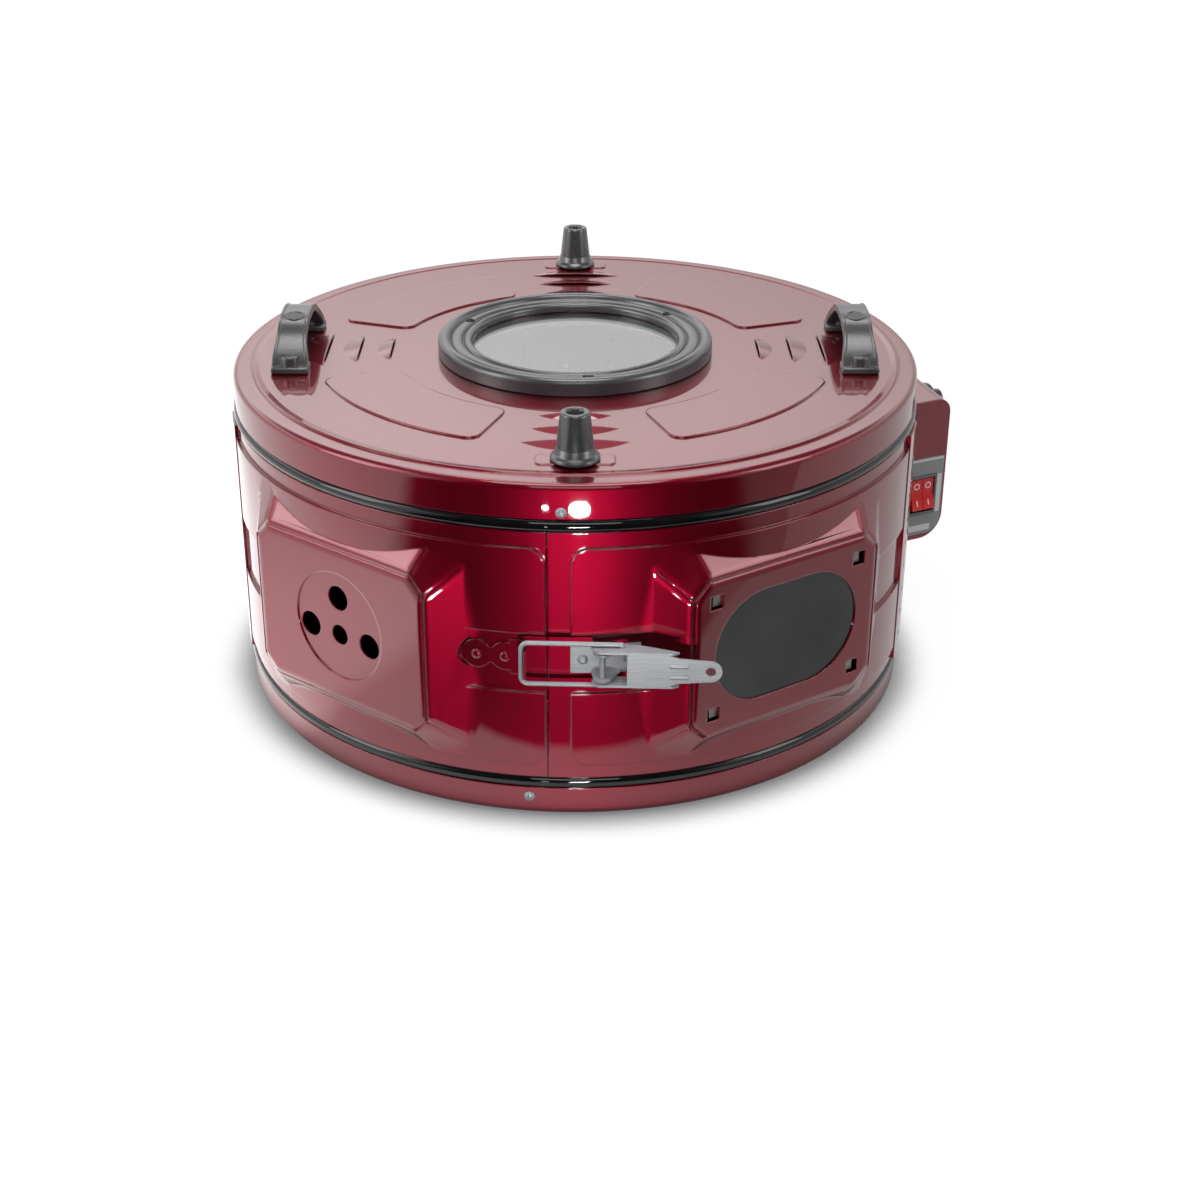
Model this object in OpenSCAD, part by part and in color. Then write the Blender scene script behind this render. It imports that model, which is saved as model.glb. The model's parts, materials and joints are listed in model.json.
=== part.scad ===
// Round electric oven: pressed drum with a clamped ring wall, a hinged lid and a side control box.
// Millimetres, +Z up, origin on the floor at the drum axis, front towards -Y.

/* [Drum] */
// Outer diameter of the drum
drum_d = 510; // [470:5:560]
// Height of the lid rim above the floor
body_h = 247; // [235:1:275]
// Thickness of the pressed sheet
sheet = 1.2; // [0.8:0.1:1.6]
// Diameter of the swaged black beads
bead_d = 9.6; // [8:0.2:12]
// How far a bead stands out past the drum
bead_proud = 1.6; // [1:0.1:2.4]
// Height of the red skirt under the lower bead
base_skirt_h = 21.7; // [20:0.1:26]
// Height of the red skirt over the upper bead
lid_skirt_h = 24; // [22:0.5:30]
// Height of the collars that locate the ring band
collar_h = 8; // [5:0.5:12]
// Gap between a pan wall and the sheet round it
pan_fit = 0.4; // [0.3:0.1:0.8]
// Gap between the closed lid and the ring band
seat_gap = 0.3; // [0.2:0.1:0.6]

/* [Base] */
// Height of the pan floor above the table
pan_floor_z = 13; // [11:0.5:16]
// Bend radius at the foot of the base skirt
base_bend = 6; // [4:0.5:8]
// Turn of the base against the lid
base_turn = -7; // [-12:1:12]

/* [Ring band] */
// Turn of the ring band against the lid
ring_turn = -2.5; // [-6:0.5:6]
// Number of bosses pressed into the band
boss_count = 5; // [5:1:5]
// Width of the flat of a front boss
boss_w = 158; // [140:1:165]
// Width of the flat of a side or rear boss
seat_w = 112; // [108:1:124]
// Height of the flat of a boss
boss_tall = 117; // [105:1:122]
// Height of the boss centres above the floor
boss_z = 119.5; // [117:0.5:122]
// How far the flat of a boss stands out past the drum
boss_lift = 5; // [4:0.5:8]
// Height of the raised fields over the band
field_lift = 2.2; // [1.6:0.1:3]
// Plain margin over and under the raised fields
field_margin = 11; // [8:0.5:14]
// Height of the plain belt between the raised fields
belt_h = 44; // [40:1:50]
// Width of the plain channel at the seam
seam_w = 17; // [14:0.5:22]
// Corner radius of the raised fields
field_corner = 12; // [8:0.5:14]
// Width of the lapped seams at the sides
lap_w = 30; // [20:1:34]
// How far a lapped seam stands out past the raised fields
lap_lift = 0.6; // [0.4:0.1:1]

/* [Side window] */
// Width of the side window
window_w = 122; // [100:1:124]
// Height of the side window
window_tall = 82; // [60:1:84]
// Cover of the glass round the side window
glass_cover = 6; // [4:0.5:7]
// Thickness of the window glasses
glass_t = 4; // [3:0.5:5]

/* [Vents] */
// Diameter of the vent disc
vent_disc_d = 80; // [70:1:100]
// Diameter of the large vent holes
vent_d = 18; // [12:0.5:20]
// Diameter of the small vent hole
vent_small_d = 14.5; // [10:0.5:18]

/* [Latch] */
// Height of the latch line above the floor
latch_z = 123; // [119:0.5:125]
// Diameter of the loop wire
loop_wire = 3.2; // [2.6:0.1:3.6]
// Diameter of the lever pin
latch_pin_d = 4; // [3:0.5:5]
// Radial clearance of turning pins
pin_play = 0.06; // [0.03:0.01:0.09]
// Length of the lever from its pin
lever_len = 78; // [70:1:84]

/* [Lid] */
// Radius of the raised lid disc
lid_disc_r = 240; // [225:1:243]
// Rise of the lid disc over the rim
lid_rise = 1.4; // [1:0.1:2.4]
// Diameter of the lid window opening
lid_window_d = 160; // [140:1:166]
// Width of the window ring outside the opening
window_ring_w = 23; // [21:0.5:26]
// Height of the window ring
window_ring_h = 13; // [11:0.5:16]
// Inner radius of the raised fans
fan_r0 = 136; // [130:1:140]
// Outer radius of the raised fans
fan_r1 = 194; // [180:1:196]
// Rise of the fans over the lid disc
fan_rise = 1.2; // [0.8:0.1:1.8]

/* [Handles and feet] */
// Distance of a handle from the drum axis
handle_x = 208; // [200:1:210]
// Length of a handle
handle_l = 114; // [100:1:124]
// Width of a handle at its feet
handle_w = 27; // [22:0.5:30]
// Height of a handle
handle_h = 32; // [28:0.5:38]
// Distance of a foot cone from the drum axis
cone_y = 217; // [208:1:220]
// Height of a foot cone
cone_h = 33; // [26:0.5:40]

/* [Control box] */
// Width of the box where it meets the band
box_w = 105; // [95:1:110]
// Reach of the box past the boss flat
box_reach = 38; // [36:0.5:48]
// Height of the box
box_h = 119; // [110:1:124]
// Height of the box floor above the table
box_z = 74; // [70:0.5:76]
// Sideways place of the box on its boss
box_shift = 9; // [4:0.5:12]

/* [Hinge] */
// Width of the hinge
hinge_w = 64; // [56:1:72]
// Diameter of the hinge pin
hinge_pin_d = 4; // [3:0.5:5]

/* [Hidden] */
$fn = 96;

paint = "#8c0f2c";
enamel = "#19171c";
bakelite = "#2b2b2e";
zinc = "#a9adb4";
steel = "#8b8d90";
ceramic = "#e6e1d6";

drum_r = drum_d / 2;
bead_r = drum_r + bead_proud - bead_d / 2;
bead_seat = 0.8;
low_bead_z = base_skirt_h + bead_d / 2;
ring_z0 = base_skirt_h + bead_d - bead_seat;
top_bead_z = body_h - lid_skirt_h - bead_d / 2;
lid_seat_z = top_bead_z - bead_d / 2 + bead_seat;
ring_z1 = lid_seat_z - seat_gap;
pan_r = drum_r - sheet - pan_fit;
pan_bend = 8;
edge_gap = 0.1;
skirt_reach = sqrt(pow(bead_d / 2, 2) - pow(drum_r - sheet - bead_r, 2)) + edge_gap;
base_skirt_top = low_bead_z - skirt_reach;
lid_skirt_bottom = top_bead_z + skirt_reach;
over = 1;

screw_d = 4;
screw_head_d = 7.6;
screw_head_h = 2.4;
screw_hole_d = screw_d + 0.2;
rivet_d = 4;
rivet_hole_d = rivet_d + 0.2;
rivet_head_d = 7;
rivet_head_h = 1.6;
skirt_screw_count = 4;

boss_pitch = 360 / boss_count;
boss_reach = drum_r + boss_lift;
boss_root = drum_r - 45;
boss_corner = 12;
boss_side_run = 0.8;
boss_end_run = 1.36;
boss_corner_run = 1.2;
window_boss = 0;
box_boss = 1;
hinge_boss = 2;
vent_boss = boss_count - 1;
belt_z = boss_z - 0.5;
seam_angle = asin(seam_w / 2 / drum_r);
slit_w = 0.6;
slit_x = -seam_w / 2 + 1;
lap_angle = 75.7;
lap_half = asin(lap_w / 2 / drum_r);
lap_reach = drum_r + field_lift + lap_lift;
lap_end = 1;
weld_d = 4;
weld_depth = 0.4;
weld_pitch = 19;
weld_count = floor((ring_z1 - ring_z0) / weld_pitch);

tab_w = 10;
tab_x = window_w / 2;
tab_z = window_tall / 2 + 1;
glass_w = window_w + 2 * glass_cover;
glass_tall = window_tall + 2 * glass_cover;
tab_lip = 13;
tab_play = 0.2;

vent_step = 28;
vent_drop = 7;
vent_sink = 1;

strap = 1.6;
latch_y = -(drum_r + 9);
lever_pin_x = 29.5;
loop_pin_dx = 12.5;
loop_pin_dy = 1;
cheek_half = 13;
ear_half = 10.2;
loop_bar_z = cheek_half + 0.5 + loop_wire / 2;
lip_x = -20.6;
loop_gap = 0.3;
latch_pin_end = 0.1;
lip_half = cheek_half - 2.6;
cheek_r = 7;
lever_back = strap + 4.5;
lever_tip_r = 7.5;
lever_web_x = 16;
lever_shoulder_x = 40;
lever_neck_x = 50;
lever_neck_half = lever_tip_r + 1.5;
lever_hole_d = 6.6;
lever_rib_x = 44;
lever_rib_l = 12;
lever_rib_dz = 4;
loop_bar_x = lip_x - strap - loop_gap - loop_wire / 2;
catch_x0 = -54;
catch_lobe_r = 10.5;
catch_rivet_xs = [catch_x0, catch_x0 + 19];
bracket_rivet_xs = [16, 46];

lid_disc_z = body_h + lid_rise;
liner_z = body_h - 11;
liner_hole_r = lid_window_d / 2 + 5;
lid_bend = 4;
element_d = 8;
element_clear = 7;
element_span = 330;
base_element_r = 150;
lid_element_r = 162;
element_bend = 12;
bush_d = 15;
bush_h = 3;
bush_hole_d = 11;
bush_play = 0.3;
bush_neck = 0.4;
clip_count = 3;

louvre_rs = [138, 162, 186];
louvre_halves = [25, 30, 37];
louvre_cut = 0.7;
louvre_h = 4.6;
fan_half_angle = 25;
fan_corner = 9;
pad_w = 52;
pad_l = 17;
pad_rise = 0.8;

glass_r = lid_window_d / 2 + 6.5;
glass_fit = 0.3;
sleeve_r = liner_hole_r + 1.5;
window_screw_r = lid_window_d / 2 + 9.3;
window_bore_r = lid_window_d / 2 - 3;
window_out_r = lid_window_d / 2 + window_ring_w;
window_roll = 4.75;
window_lip = 3.6;
window_band_h = window_ring_h - 2.5;
window_groove_h = window_band_h - 1.5;
window_groove_w = 0.9;
window_screw_h = window_band_h - 4;
window_screw_angles = [-84, 36, 156];

handle_foot = 18;
handle_foot_h = 5;
handle_root = 13;
handle_bar = 6.5;
handle_waist = 2.7;
cone_flange_d = 33;
cone_flange_h = 5;
cone_base_d = 26;
cone_tip_d = 19;
cone_bore_d = 11;
cone_seat_h = 9;
cone_edge = 1;

hinge_leaf_t = 2;
hinge_knuckle_r = 5;
hinge_y = boss_reach + hinge_knuckle_r;
hinge_z = top_bead_z;
hinge_gap = 0.4;
hinge_part = hinge_w / 3;
hinge_leaf_z0 = boss_z + 8;
hinge_rivet_dx = 20;
hinge_rivet_zs = [boss_z + 20, boss_z + 44];
hinge_leaf_angle = asin(hinge_w / 2 / drum_r);

plate_t = 1.5;
box_y0 = boss_reach + plate_t;
box_top_bend = 12;
box_foot_bend = 20;
box_run = 0.167;
box_taper = atan(box_run);
box_front_u = box_shift - box_w / 2;
box_screw_dx = 34;
box_screw_zs = [boss_z - 34, boss_z + 40];

bezel_w = 26;
bezel_h = 33.6;
bezel_t = 2.2;
bezel_frame = 2.2;
switch_reach = 16;
switch_u = box_front_u + box_run * (switch_reach - plate_t);
switch_z = 113.5;
switch_body_depth = 14;
panel_t = 0.8;
panel_z0 = -35;
panel_z1 = 31;
panel_x0 = -12.6;
panel_x1 = 20;
rocker_gap = 0.4;
rocker_w = (bezel_w - 2 * bezel_frame - 3 * rocker_gap) / 2;
rocker_half = bezel_h / 2 - bezel_frame - rocker_gap;
rocker_tilt = 9;
rocker_pivot_y = 3;
rocker_pin_d = 3;
gland_u = box_shift + 4;
gland_z = box_z + box_h - 22;
gland_d = 30;

function arc_points(centre, r, a0, a1, n) =
  [for (i = [0:n]) centre + r * [cos(a0 + (a1 - a0) * i / n), sin(a0 + (a1 - a0) * i / n)]];

function rounded_rect(w, h, r, n = 6) = concat(
  arc_points([w / 2 - r, h / 2 - r], r, 0, 90, n),
  arc_points([r - w / 2, h / 2 - r], r, 90, 180, n),
  arc_points([r - w / 2, r - h / 2], r, 180, 270, n),
  arc_points([w / 2 - r, r - h / 2], r, 270, 360, n));

// Outline of a ring sector with rounded corners, centred on +X
function fan_outline(r0, r1, half, c) =
  let (a1 = half - asin(c / (r1 - c)), a0 = half - asin(c / (r0 + c)))
  concat(
    arc_points([0, 0], r1, -a1, a1, 12),
    arc_points((r1 - c) * [cos(a1), sin(a1)], c, a1, half + 90, 5),
    arc_points((r0 + c) * [cos(a0), sin(a0)], c, half + 90, a0 + 180, 5),
    arc_points([0, 0], r0, a0, -a0, 10),
    arc_points((r0 + c) * [cos(a0), -sin(a0)], c, 180 - a0, 270 - half, 5),
    arc_points((r1 - c) * [cos(a1), -sin(a1)], c, 270 - half, 360 - a1, 5));

// Puts a front-facing feature on one of the bosses
module on_boss(i) {
  rotate([0, 0, ring_turn + boss_pitch * (i + 0.5)])
    translate([0, 0, boss_z])
      children();
}

// Puts a feature on the side of the control box, facing -Y, at the middle of the switch
module on_panel() {
  on_boss(box_boss)
    translate([switch_u, -boss_reach - switch_reach, switch_z - boss_z])
      rotate([0, 0, box_taper - 90])
        children();
}

// Round-headed screw that lies along +Y, with the underside of its head at y = 0
module screw(length) {
  rotate([-90, 0, 0])
    rotate_extrude()
      polygon(concat([[0, length], [0, -screw_head_h]],
        arc_points([screw_head_d / 4, 0], screw_head_d / 4, -75, 0, 5),
        [[screw_d / 2, 0], [screw_d / 2, length]]));
}

// Rivet that lies along +Y, with the underside of its head at y = 0
module rivet(length) {
  rotate([-90, 0, 0])
    rotate_extrude()
      polygon([[0, length], [0, -rivet_head_h], [rivet_head_d / 4, -rivet_head_h],
        [rivet_head_d / 2, -rivet_head_h / 3], [rivet_head_d / 2, 0], [rivet_d / 2, 0],
        [rivet_d / 2, length]]);
}

// Hole along Y
module cross_hole(d, length) {
  rotate([90, 0, 0])
    cylinder(d = d, h = length, center = true);
}

// Skirt screws round the drum, with their heads on the skirt
module skirt_screws(z, turn, angles) {
  for (a = angles)
    rotate([0, 0, turn + a])
      translate([0, -drum_r, z])
        screw(sheet + pan_fit + 2 * sheet);
}

module skirt_holes(z, turn, angles) {
  for (a = angles)
    rotate([0, 0, turn + a])
      translate([0, -drum_r, z])
        cross_hole(screw_hole_d, 20);
}

base_screw_z = base_skirt_h * 0.68;
base_screw_angles = [for (i = [0:skirt_screw_count - 1]) i * 360 / skirt_screw_count];
lid_screw_z = lid_skirt_bottom + 5;
lid_screw_angles = [-2, 90, 270];

// Region inside the base skirt, with its walls moved in by inset
module base_region(inset) {
  translate([0, inset])
    square([drum_r - base_bend, base_skirt_top + over * inset - inset]);
  translate([0, base_bend])
    square([drum_r - inset, base_skirt_top + over * inset - base_bend]);
  translate([drum_r - base_bend, base_bend])
    circle(base_bend - inset);
}

module base_shell() {
  color(paint)
    difference() {
      rotate_extrude()
        difference() {
          base_region(0);
          base_region(sheet);
        }
      skirt_holes(base_screw_z, base_turn, base_screw_angles);
    }
}

// Region inside a pan wall with its swaged bead, with its walls moved in by inset
module pan_region(inset, floor_z, mouth_z, bead_z) {
  up = mouth_z > floor_z ? 1 : -1;
  bottom = floor_z + up * inset;
  top = mouth_z + up * over * inset;
  bend = floor_z + up * pan_bend;
  translate([0, min(bottom, top)])
    square([pan_r - pan_bend, abs(top - bottom)]);
  translate([0, min(bend, top)])
    square([pan_r - inset, abs(top - bend)]);
  translate([pan_r - pan_bend, bend])
    circle(pan_bend - inset);
  translate([bead_r, bead_z])
    circle(bead_d / 2 - inset);
}

base_element_z = pan_floor_z + sheet + element_clear + element_d / 2;
lid_element_z = liner_z - sheet - element_clear - element_d / 2;
element_end_angle = (360 - element_span) / 2;

module base_pan() {
  color(enamel)
    difference() {
      rotate_extrude()
        difference() {
          pan_region(0, pan_floor_z, ring_z0 + collar_h, low_bead_z);
          pan_region(sheet, pan_floor_z, ring_z0 + collar_h, low_bead_z);
          translate([pan_r, ring_z0])
            square([bead_d, bead_d]);
        }
      skirt_holes(base_screw_z, base_turn, base_screw_angles);
      element_ends(base_element_r)
        cylinder(d = bush_hole_d, h = 4 * pan_floor_z, center = true);
    }
}

module base_screws() {
  color(zinc)
    skirt_screws(base_screw_z, base_turn, base_screw_angles);
}

// Places a child where the two ends of a heating tube turn off their ring
module element_ends(r) {
  for (side = [-1, 1])
    rotate([0, 0, 90 + side * element_end_angle])
      translate([r, 0, 0])
        rotate([0, 0, side > 0 ? 180 : 0])
          translate([0, element_bend, 0])
            children();
}

// Heating tube: an open ring whose ends bend away along Z by drop
module heating_tube(r, drop) {
  rotate([0, 0, 90 + element_end_angle])
    rotate_extrude(angle = element_span)
      translate([r, 0])
        circle(d = element_d);
  for (side = [-1, 1])
    rotate([0, 0, 90 + side * element_end_angle])
      translate([r, 0, 0])
        rotate([0, 0, side > 0 ? 180 : 0]) {
          rotate([90, 0, 0])
            cylinder(d = element_d + 1, h = 6, center = true);
          translate([0, 0, sign(drop) * element_bend])
            rotate([0, drop > 0 ? 90 : -90, 0])
              rotate_extrude(angle = 90)
                translate([element_bend, 0])
                  circle(d = element_d);
          translate([0, element_bend, sign(drop) * element_bend])
            mirror([0, 0, drop > 0 ? 0 : 1])
              cylinder(d = element_d, h = abs(drop) - element_bend);
        }
}

// Sheet saddles that hold a heating tube off its pan
module tube_clips(r, foot_z, tube_z) {
  up = tube_z > foot_z ? 1 : -1;
  for (i = [0:clip_count - 1])
    rotate([0, 0, 270 + (i - 1) * 110])
      translate([r, 0, 0])
        difference() {
          union() {
            translate([-8, -5, up > 0 ? foot_z : foot_z - strap])
              cube([16, 10, strap]);
            translate([-strap / 2, -5, up > 0 ? foot_z : tube_z])
              cube([strap, 10, abs(tube_z - foot_z)]);
            translate([0, 5, tube_z])
              rotate([90, 0, 0])
                cylinder(d = element_d + 2 * strap, h = 10);
          }
          translate([0, 6, tube_z])
            rotate([90, 0, 0])
              cylinder(d = element_d + 0.3, h = 12);
        }
}

// Ceramic bushes whose flanges lie on the outer face of a pan, out along Z
module end_bushes(r, face_z, out) {
  element_ends(r)
    translate([0, 0, face_z])
      mirror([0, 0, out > 0 ? 0 : 1])
        difference() {
          union() {
            cylinder(d = bush_d, h = bush_h);
            translate([0, 0, -sheet - bush_neck])
              cylinder(d = bush_hole_d - bush_play, h = sheet + bush_neck + bush_h);
          }
          cylinder(d = element_d + bush_play, h = 8 * bush_h, center = true);
        }
}

module base_element() {
  color(steel)
    translate([0, 0, base_element_z])
      heating_tube(base_element_r, -(base_element_z - sheet - 5));
}

module base_element_clips() {
  color(zinc)
    tube_clips(base_element_r, pan_floor_z + sheet, base_element_z);
}

module base_bushes() {
  color(ceramic)
    end_bushes(base_element_r, pan_floor_z, -1);
}

// Wedge across a boss: half its flat, the run of its slope, and the inset of its faces
module boss_wedge(half, run, inset) {
  top = boss_reach - inset;
  flat = half + run * inset - inset * sqrt(1 + run * run);
  root = flat + run * (top - boss_root);
  rotate([0, 0, 180])
    linear_extrude(height = 2 * drum_r, center = true)
      polygon([[-flat, top], [flat, top], [root, boss_root], [-root, boss_root]]);
}

// Boss with a flat of width w
module boss(w, inset) {
  diagonal = (w / 2 + boss_tall / 2 - boss_corner) / sqrt(2);
  intersection() {
    boss_wedge(w / 2, boss_side_run, inset);
    rotate([0, 90, 0])
      boss_wedge(boss_tall / 2, boss_end_run, inset);
    rotate([0, 45, 0])
      boss_wedge(diagonal, boss_corner_run, inset);
    rotate([0, -45, 0])
      boss_wedge(diagonal, boss_corner_run, inset);
    translate([-drum_r, -2 * drum_r, ring_z0 + 4 - boss_z])
      cube([2 * drum_r, 2 * drum_r, ring_z1 - ring_z0 - 8]);
  }
}

// Outline that takes off a corner at the origin in three flats round a circle of radius r
function corner_cut(r) =
  let (k = r / cos(11.25), a = 123.75, m1 = [r, -r] + k * [cos(a), sin(a)], m2 = [-m1[1], -m1[0]],
    e1 = m1 + (over - m1[1]) / cos(67.5) * [sin(67.5), cos(67.5)])
  [[-over, over], [-e1[1], -e1[0]], m2, m1, e1];

// Cuts the corner of a raised field beside the seam
module field_corner_cut(inset) {
  r = field_corner - inset;
  translate([seam_w / 2 + inset, -drum_r, 0])
    rotate([90, 0, 0])
      linear_extrude(height = 30, center = true)
        polygon(corner_cut(r));
}

// Raised field that runs round the band from one side of the seam to the other
module field(z0, z1, inset, corner_up) {
  turn = seam_angle + inset / drum_r * 180 / PI;
  difference() {
    rotate([0, 0, turn - 90])
      rotate_extrude(angle = 360 - 2 * turn)
        translate([drum_r - 5, z0 + inset])
          square([5 + field_lift - inset, z1 - z0 - 2 * inset]);
    for (side = [0, 1])
      mirror([side, 0, 0])
        if (corner_up)
          translate([0, 0, z1 - inset])
            field_corner_cut(inset);
        else
          translate([0, 0, z0 + inset])
            mirror([0, 0, 1])
              field_corner_cut(inset);
  }
}

// Drum of the ring band with its raised fields and bosses, with its faces moved in by inset
module band_form(inset, reach) {
  rotate([0, 0, ring_turn]) {
    translate([0, 0, ring_z0 - reach])
      cylinder(r = drum_r - inset, h = ring_z1 - ring_z0 + 2 * reach);
    field(ring_z0 + field_margin, belt_z - belt_h / 2, inset, false);
    field(belt_z + belt_h / 2, ring_z1 - field_margin, inset, true);
  }
  for (i = [0:boss_count - 1])
    difference() {
      on_boss(i)
        translate([i == box_boss ? box_shift : 0, 0, 0])
          boss(i == window_boss || i == vent_boss ? boss_w : seat_w, inset);
      if (i == vent_boss)
        catch_seat(inset);
    }
}

// Round seat pressed into the side of a boss, where the end of the catch lies on the drum
module catch_seat(inset) {
  latch_frame()
    difference() {
      on_band(catch_x0)
        rotate([90, 0, 0])
          translate([0, 0, -6])
            cylinder(r = catch_lobe_r + 1.5 + inset, h = 40);
      cylinder(r = drum_r - inset, h = 4 * catch_lobe_r, center = true);
    }
}

// Stadium plate that faces -Y, from y = -reach inwards
module stadium(w, tall, reach, depth) {
  translate([0, -reach, 0])
    rotate([-90, 0, 0])
      linear_extrude(height = depth)
        polygon(rounded_rect(w, tall, tall / 2 - 0.01, 14));
}

module vent_holes() {
  for (at = [[-vent_step, -vent_drop, vent_d], [vent_step, -vent_drop, vent_d],
      [0, vent_step - vent_drop, vent_d], [0, -vent_drop, vent_small_d]])
    translate([at[0], -boss_reach, at[1]])
      cross_hole(at[2], 20);
}

// Sheet tab bent in from the corner of the window to hold the glass
module glass_tab() {
  depth = glass_t + tab_play;
  translate([tab_x - tab_w / 2 - sheet, sheet - boss_reach - 0.1, tab_z - tab_w / 2 + over])
    cube([sheet, depth + sheet + 0.1, tab_w - 2 * over]);
  translate([tab_x - tab_w / 2 - tab_lip, sheet - boss_reach + depth, tab_z - tab_w / 2 + over])
    cube([tab_lip, sheet, tab_w - 2 * over]);
}

// Lapped seams at the sides of the band, with their rows of spot welds
module side_laps() {
  for (side = [-1, 1])
    rotate([0, 0, ring_turn + side * lap_angle])
      difference() {
        rotate([0, 0, -90 - lap_half])
          rotate_extrude(angle = 2 * lap_half)
            translate([drum_r - sheet / 2, ring_z0 + lap_end])
              square([lap_reach - drum_r + sheet / 2, ring_z1 - ring_z0 - 2 * lap_end]);
        for (i = [0:weld_count - 1])
          translate([0, -lap_reach, (ring_z0 + ring_z1) / 2 + weld_pitch * (i - (weld_count - 1) / 2)])
            cross_hole(weld_d, 2 * weld_depth);
      }
}

module ring_band() {
  color(paint)
    difference() {
      union() {
        difference() {
          band_form(0, 0);
          band_form(sheet, over);
        }
        side_laps();
        on_boss(window_boss)
          for (sx = [0, 1], sz = [0, 1])
            mirror([sx, 0, 0])
              mirror([0, 0, sz])
                glass_tab();
        on_boss(vent_boss)
          translate([0, sheet - boss_reach - 0.1, 0])
            rotate([-90, 0, 0])
              cylinder(d = vent_disc_d + 2 * sheet, h = vent_sink + 0.1);
      }
      on_boss(window_boss) {
        stadium(window_w, window_tall, boss_reach + over, sheet + 2 * over);
        for (sx = [-1, 1], sz = [-1, 1])
          translate([sx * tab_x - tab_w / 2, -boss_reach - over, sz * tab_z - tab_w / 2])
            cube([tab_w, sheet + over + 0.01, tab_w]);
      }
      on_boss(vent_boss) {
        translate([0, -boss_reach - over, 0])
          rotate([-90, 0, 0])
            cylinder(d = vent_disc_d, h = vent_sink + over);
        vent_holes();
      }
      rotate([0, 0, ring_turn])
        translate([slit_x, -drum_r - 10, ring_z0 - over])
          cube([slit_w, 20, ring_z1 - ring_z0 + 2 * over]);
      latch_rivet_holes();
      on_boss(hinge_boss)
        hinge_rivet_holes();
      on_boss(box_boss)
        box_screw_holes();
    }
}

module side_glass() {
  color("#30343a")
    on_boss(window_boss)
      stadium(glass_w, glass_tall, boss_reach - sheet, glass_t);
}

// Sheet that lies on the band at the latch: a ring sector from x0 to x1
module band_strip(x0, x1, tall) {
  a0 = asin(x0 / drum_r);
  a1 = asin(x1 / drum_r);
  rotate([0, 0, a0 - 90])
    rotate_extrude(angle = a1 - a0)
      translate([drum_r, -tall / 2])
        square([strap, tall]);
}

module latch_frame() {
  rotate([0, 0, ring_turn])
    translate([0, 0, latch_z])
      children();
}

// Places a child on the band at x, square to the drum, facing -Y
module on_band(x) {
  rotate([0, 0, asin(x / drum_r)])
    translate([0, -drum_r, 0])
      children();
}

module latch_rivet_holes() {
  latch_frame()
    for (x = concat(catch_rivet_xs, bracket_rivet_xs))
      on_band(x)
        cross_hole(rivet_hole_d, 12);
}

module catch_plate() {
  color(paint)
    latch_frame()
      difference() {
        union() {
          intersection() {
            band_strip(catch_x0 - catch_lobe_r - 2, lip_x, 2 * cheek_half);
            union() {
              for (x = catch_rivet_xs)
                on_band(x)
                  cross_hole(2 * catch_lobe_r, 20);
              translate([catch_x0, -drum_r - 20, -6])
                cube([lip_x - catch_x0, 60, 12]);
              translate([-32, -drum_r - 20, -cheek_half])
                cube([lip_x + 32, 60, 2 * cheek_half]);
            }
          }
          translate([lip_x - strap, latch_y - loop_wire, -lip_half])
            cube([strap, loop_wire - latch_y - drum_r, 2 * lip_half]);
        }
        for (x = catch_rivet_xs)
          on_band(x)
            cross_hole(rivet_hole_d, 12);
      }
}

module latch_bracket() {
  color(zinc)
    latch_frame()
      difference() {
        union() {
          band_strip(8, 54, 2 * ear_half);
          for (side = [-1, 1])
            translate([lever_pin_x, 0, side * (ear_half - strap / 2) - strap / 2])
              linear_extrude(height = strap)
                polygon(concat([[12, -drum_r + 2.4], [-8, -drum_r + 0.6]],
                  arc_points([0, latch_y], 6, 200, 340, 8)));
        }
        translate([lever_pin_x, latch_y, 0])
          cylinder(d = latch_pin_d + 2 * pin_play, h = 60, center = true);
        for (x = bracket_rivet_xs)
          on_band(x)
            cross_hole(rivet_hole_d, 12);
      }
}

module latch_rivets() {
  color(zinc)
    latch_frame()
      for (x = concat(catch_rivet_xs, bracket_rivet_xs))
        on_band(x)
          translate([0, -strap, 0])
            rivet(strap + sheet + 2);
}

module latch_pin() {
  color(steel)
    latch_frame()
      translate([lever_pin_x, latch_y, 0])
        cylinder(d = latch_pin_d, h = 2 * (cheek_half + latch_pin_end), center = true);
}

// Side cheek of the lever, drawn with its pin at the origin and its tip along +X
function cheek_outline() = concat(
  arc_points([0, 0], cheek_r, 90, 250, 8),
  [[lever_web_x + 2, -lever_back], [lever_neck_x - 4, -lever_back], [lever_neck_x, 2.5 - lever_back],
    [lever_neck_x - 4, -2], [lever_neck_x / 2 - 1, cheek_r - 2], [lever_neck_x / 5, cheek_r - 0.5]]);

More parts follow.
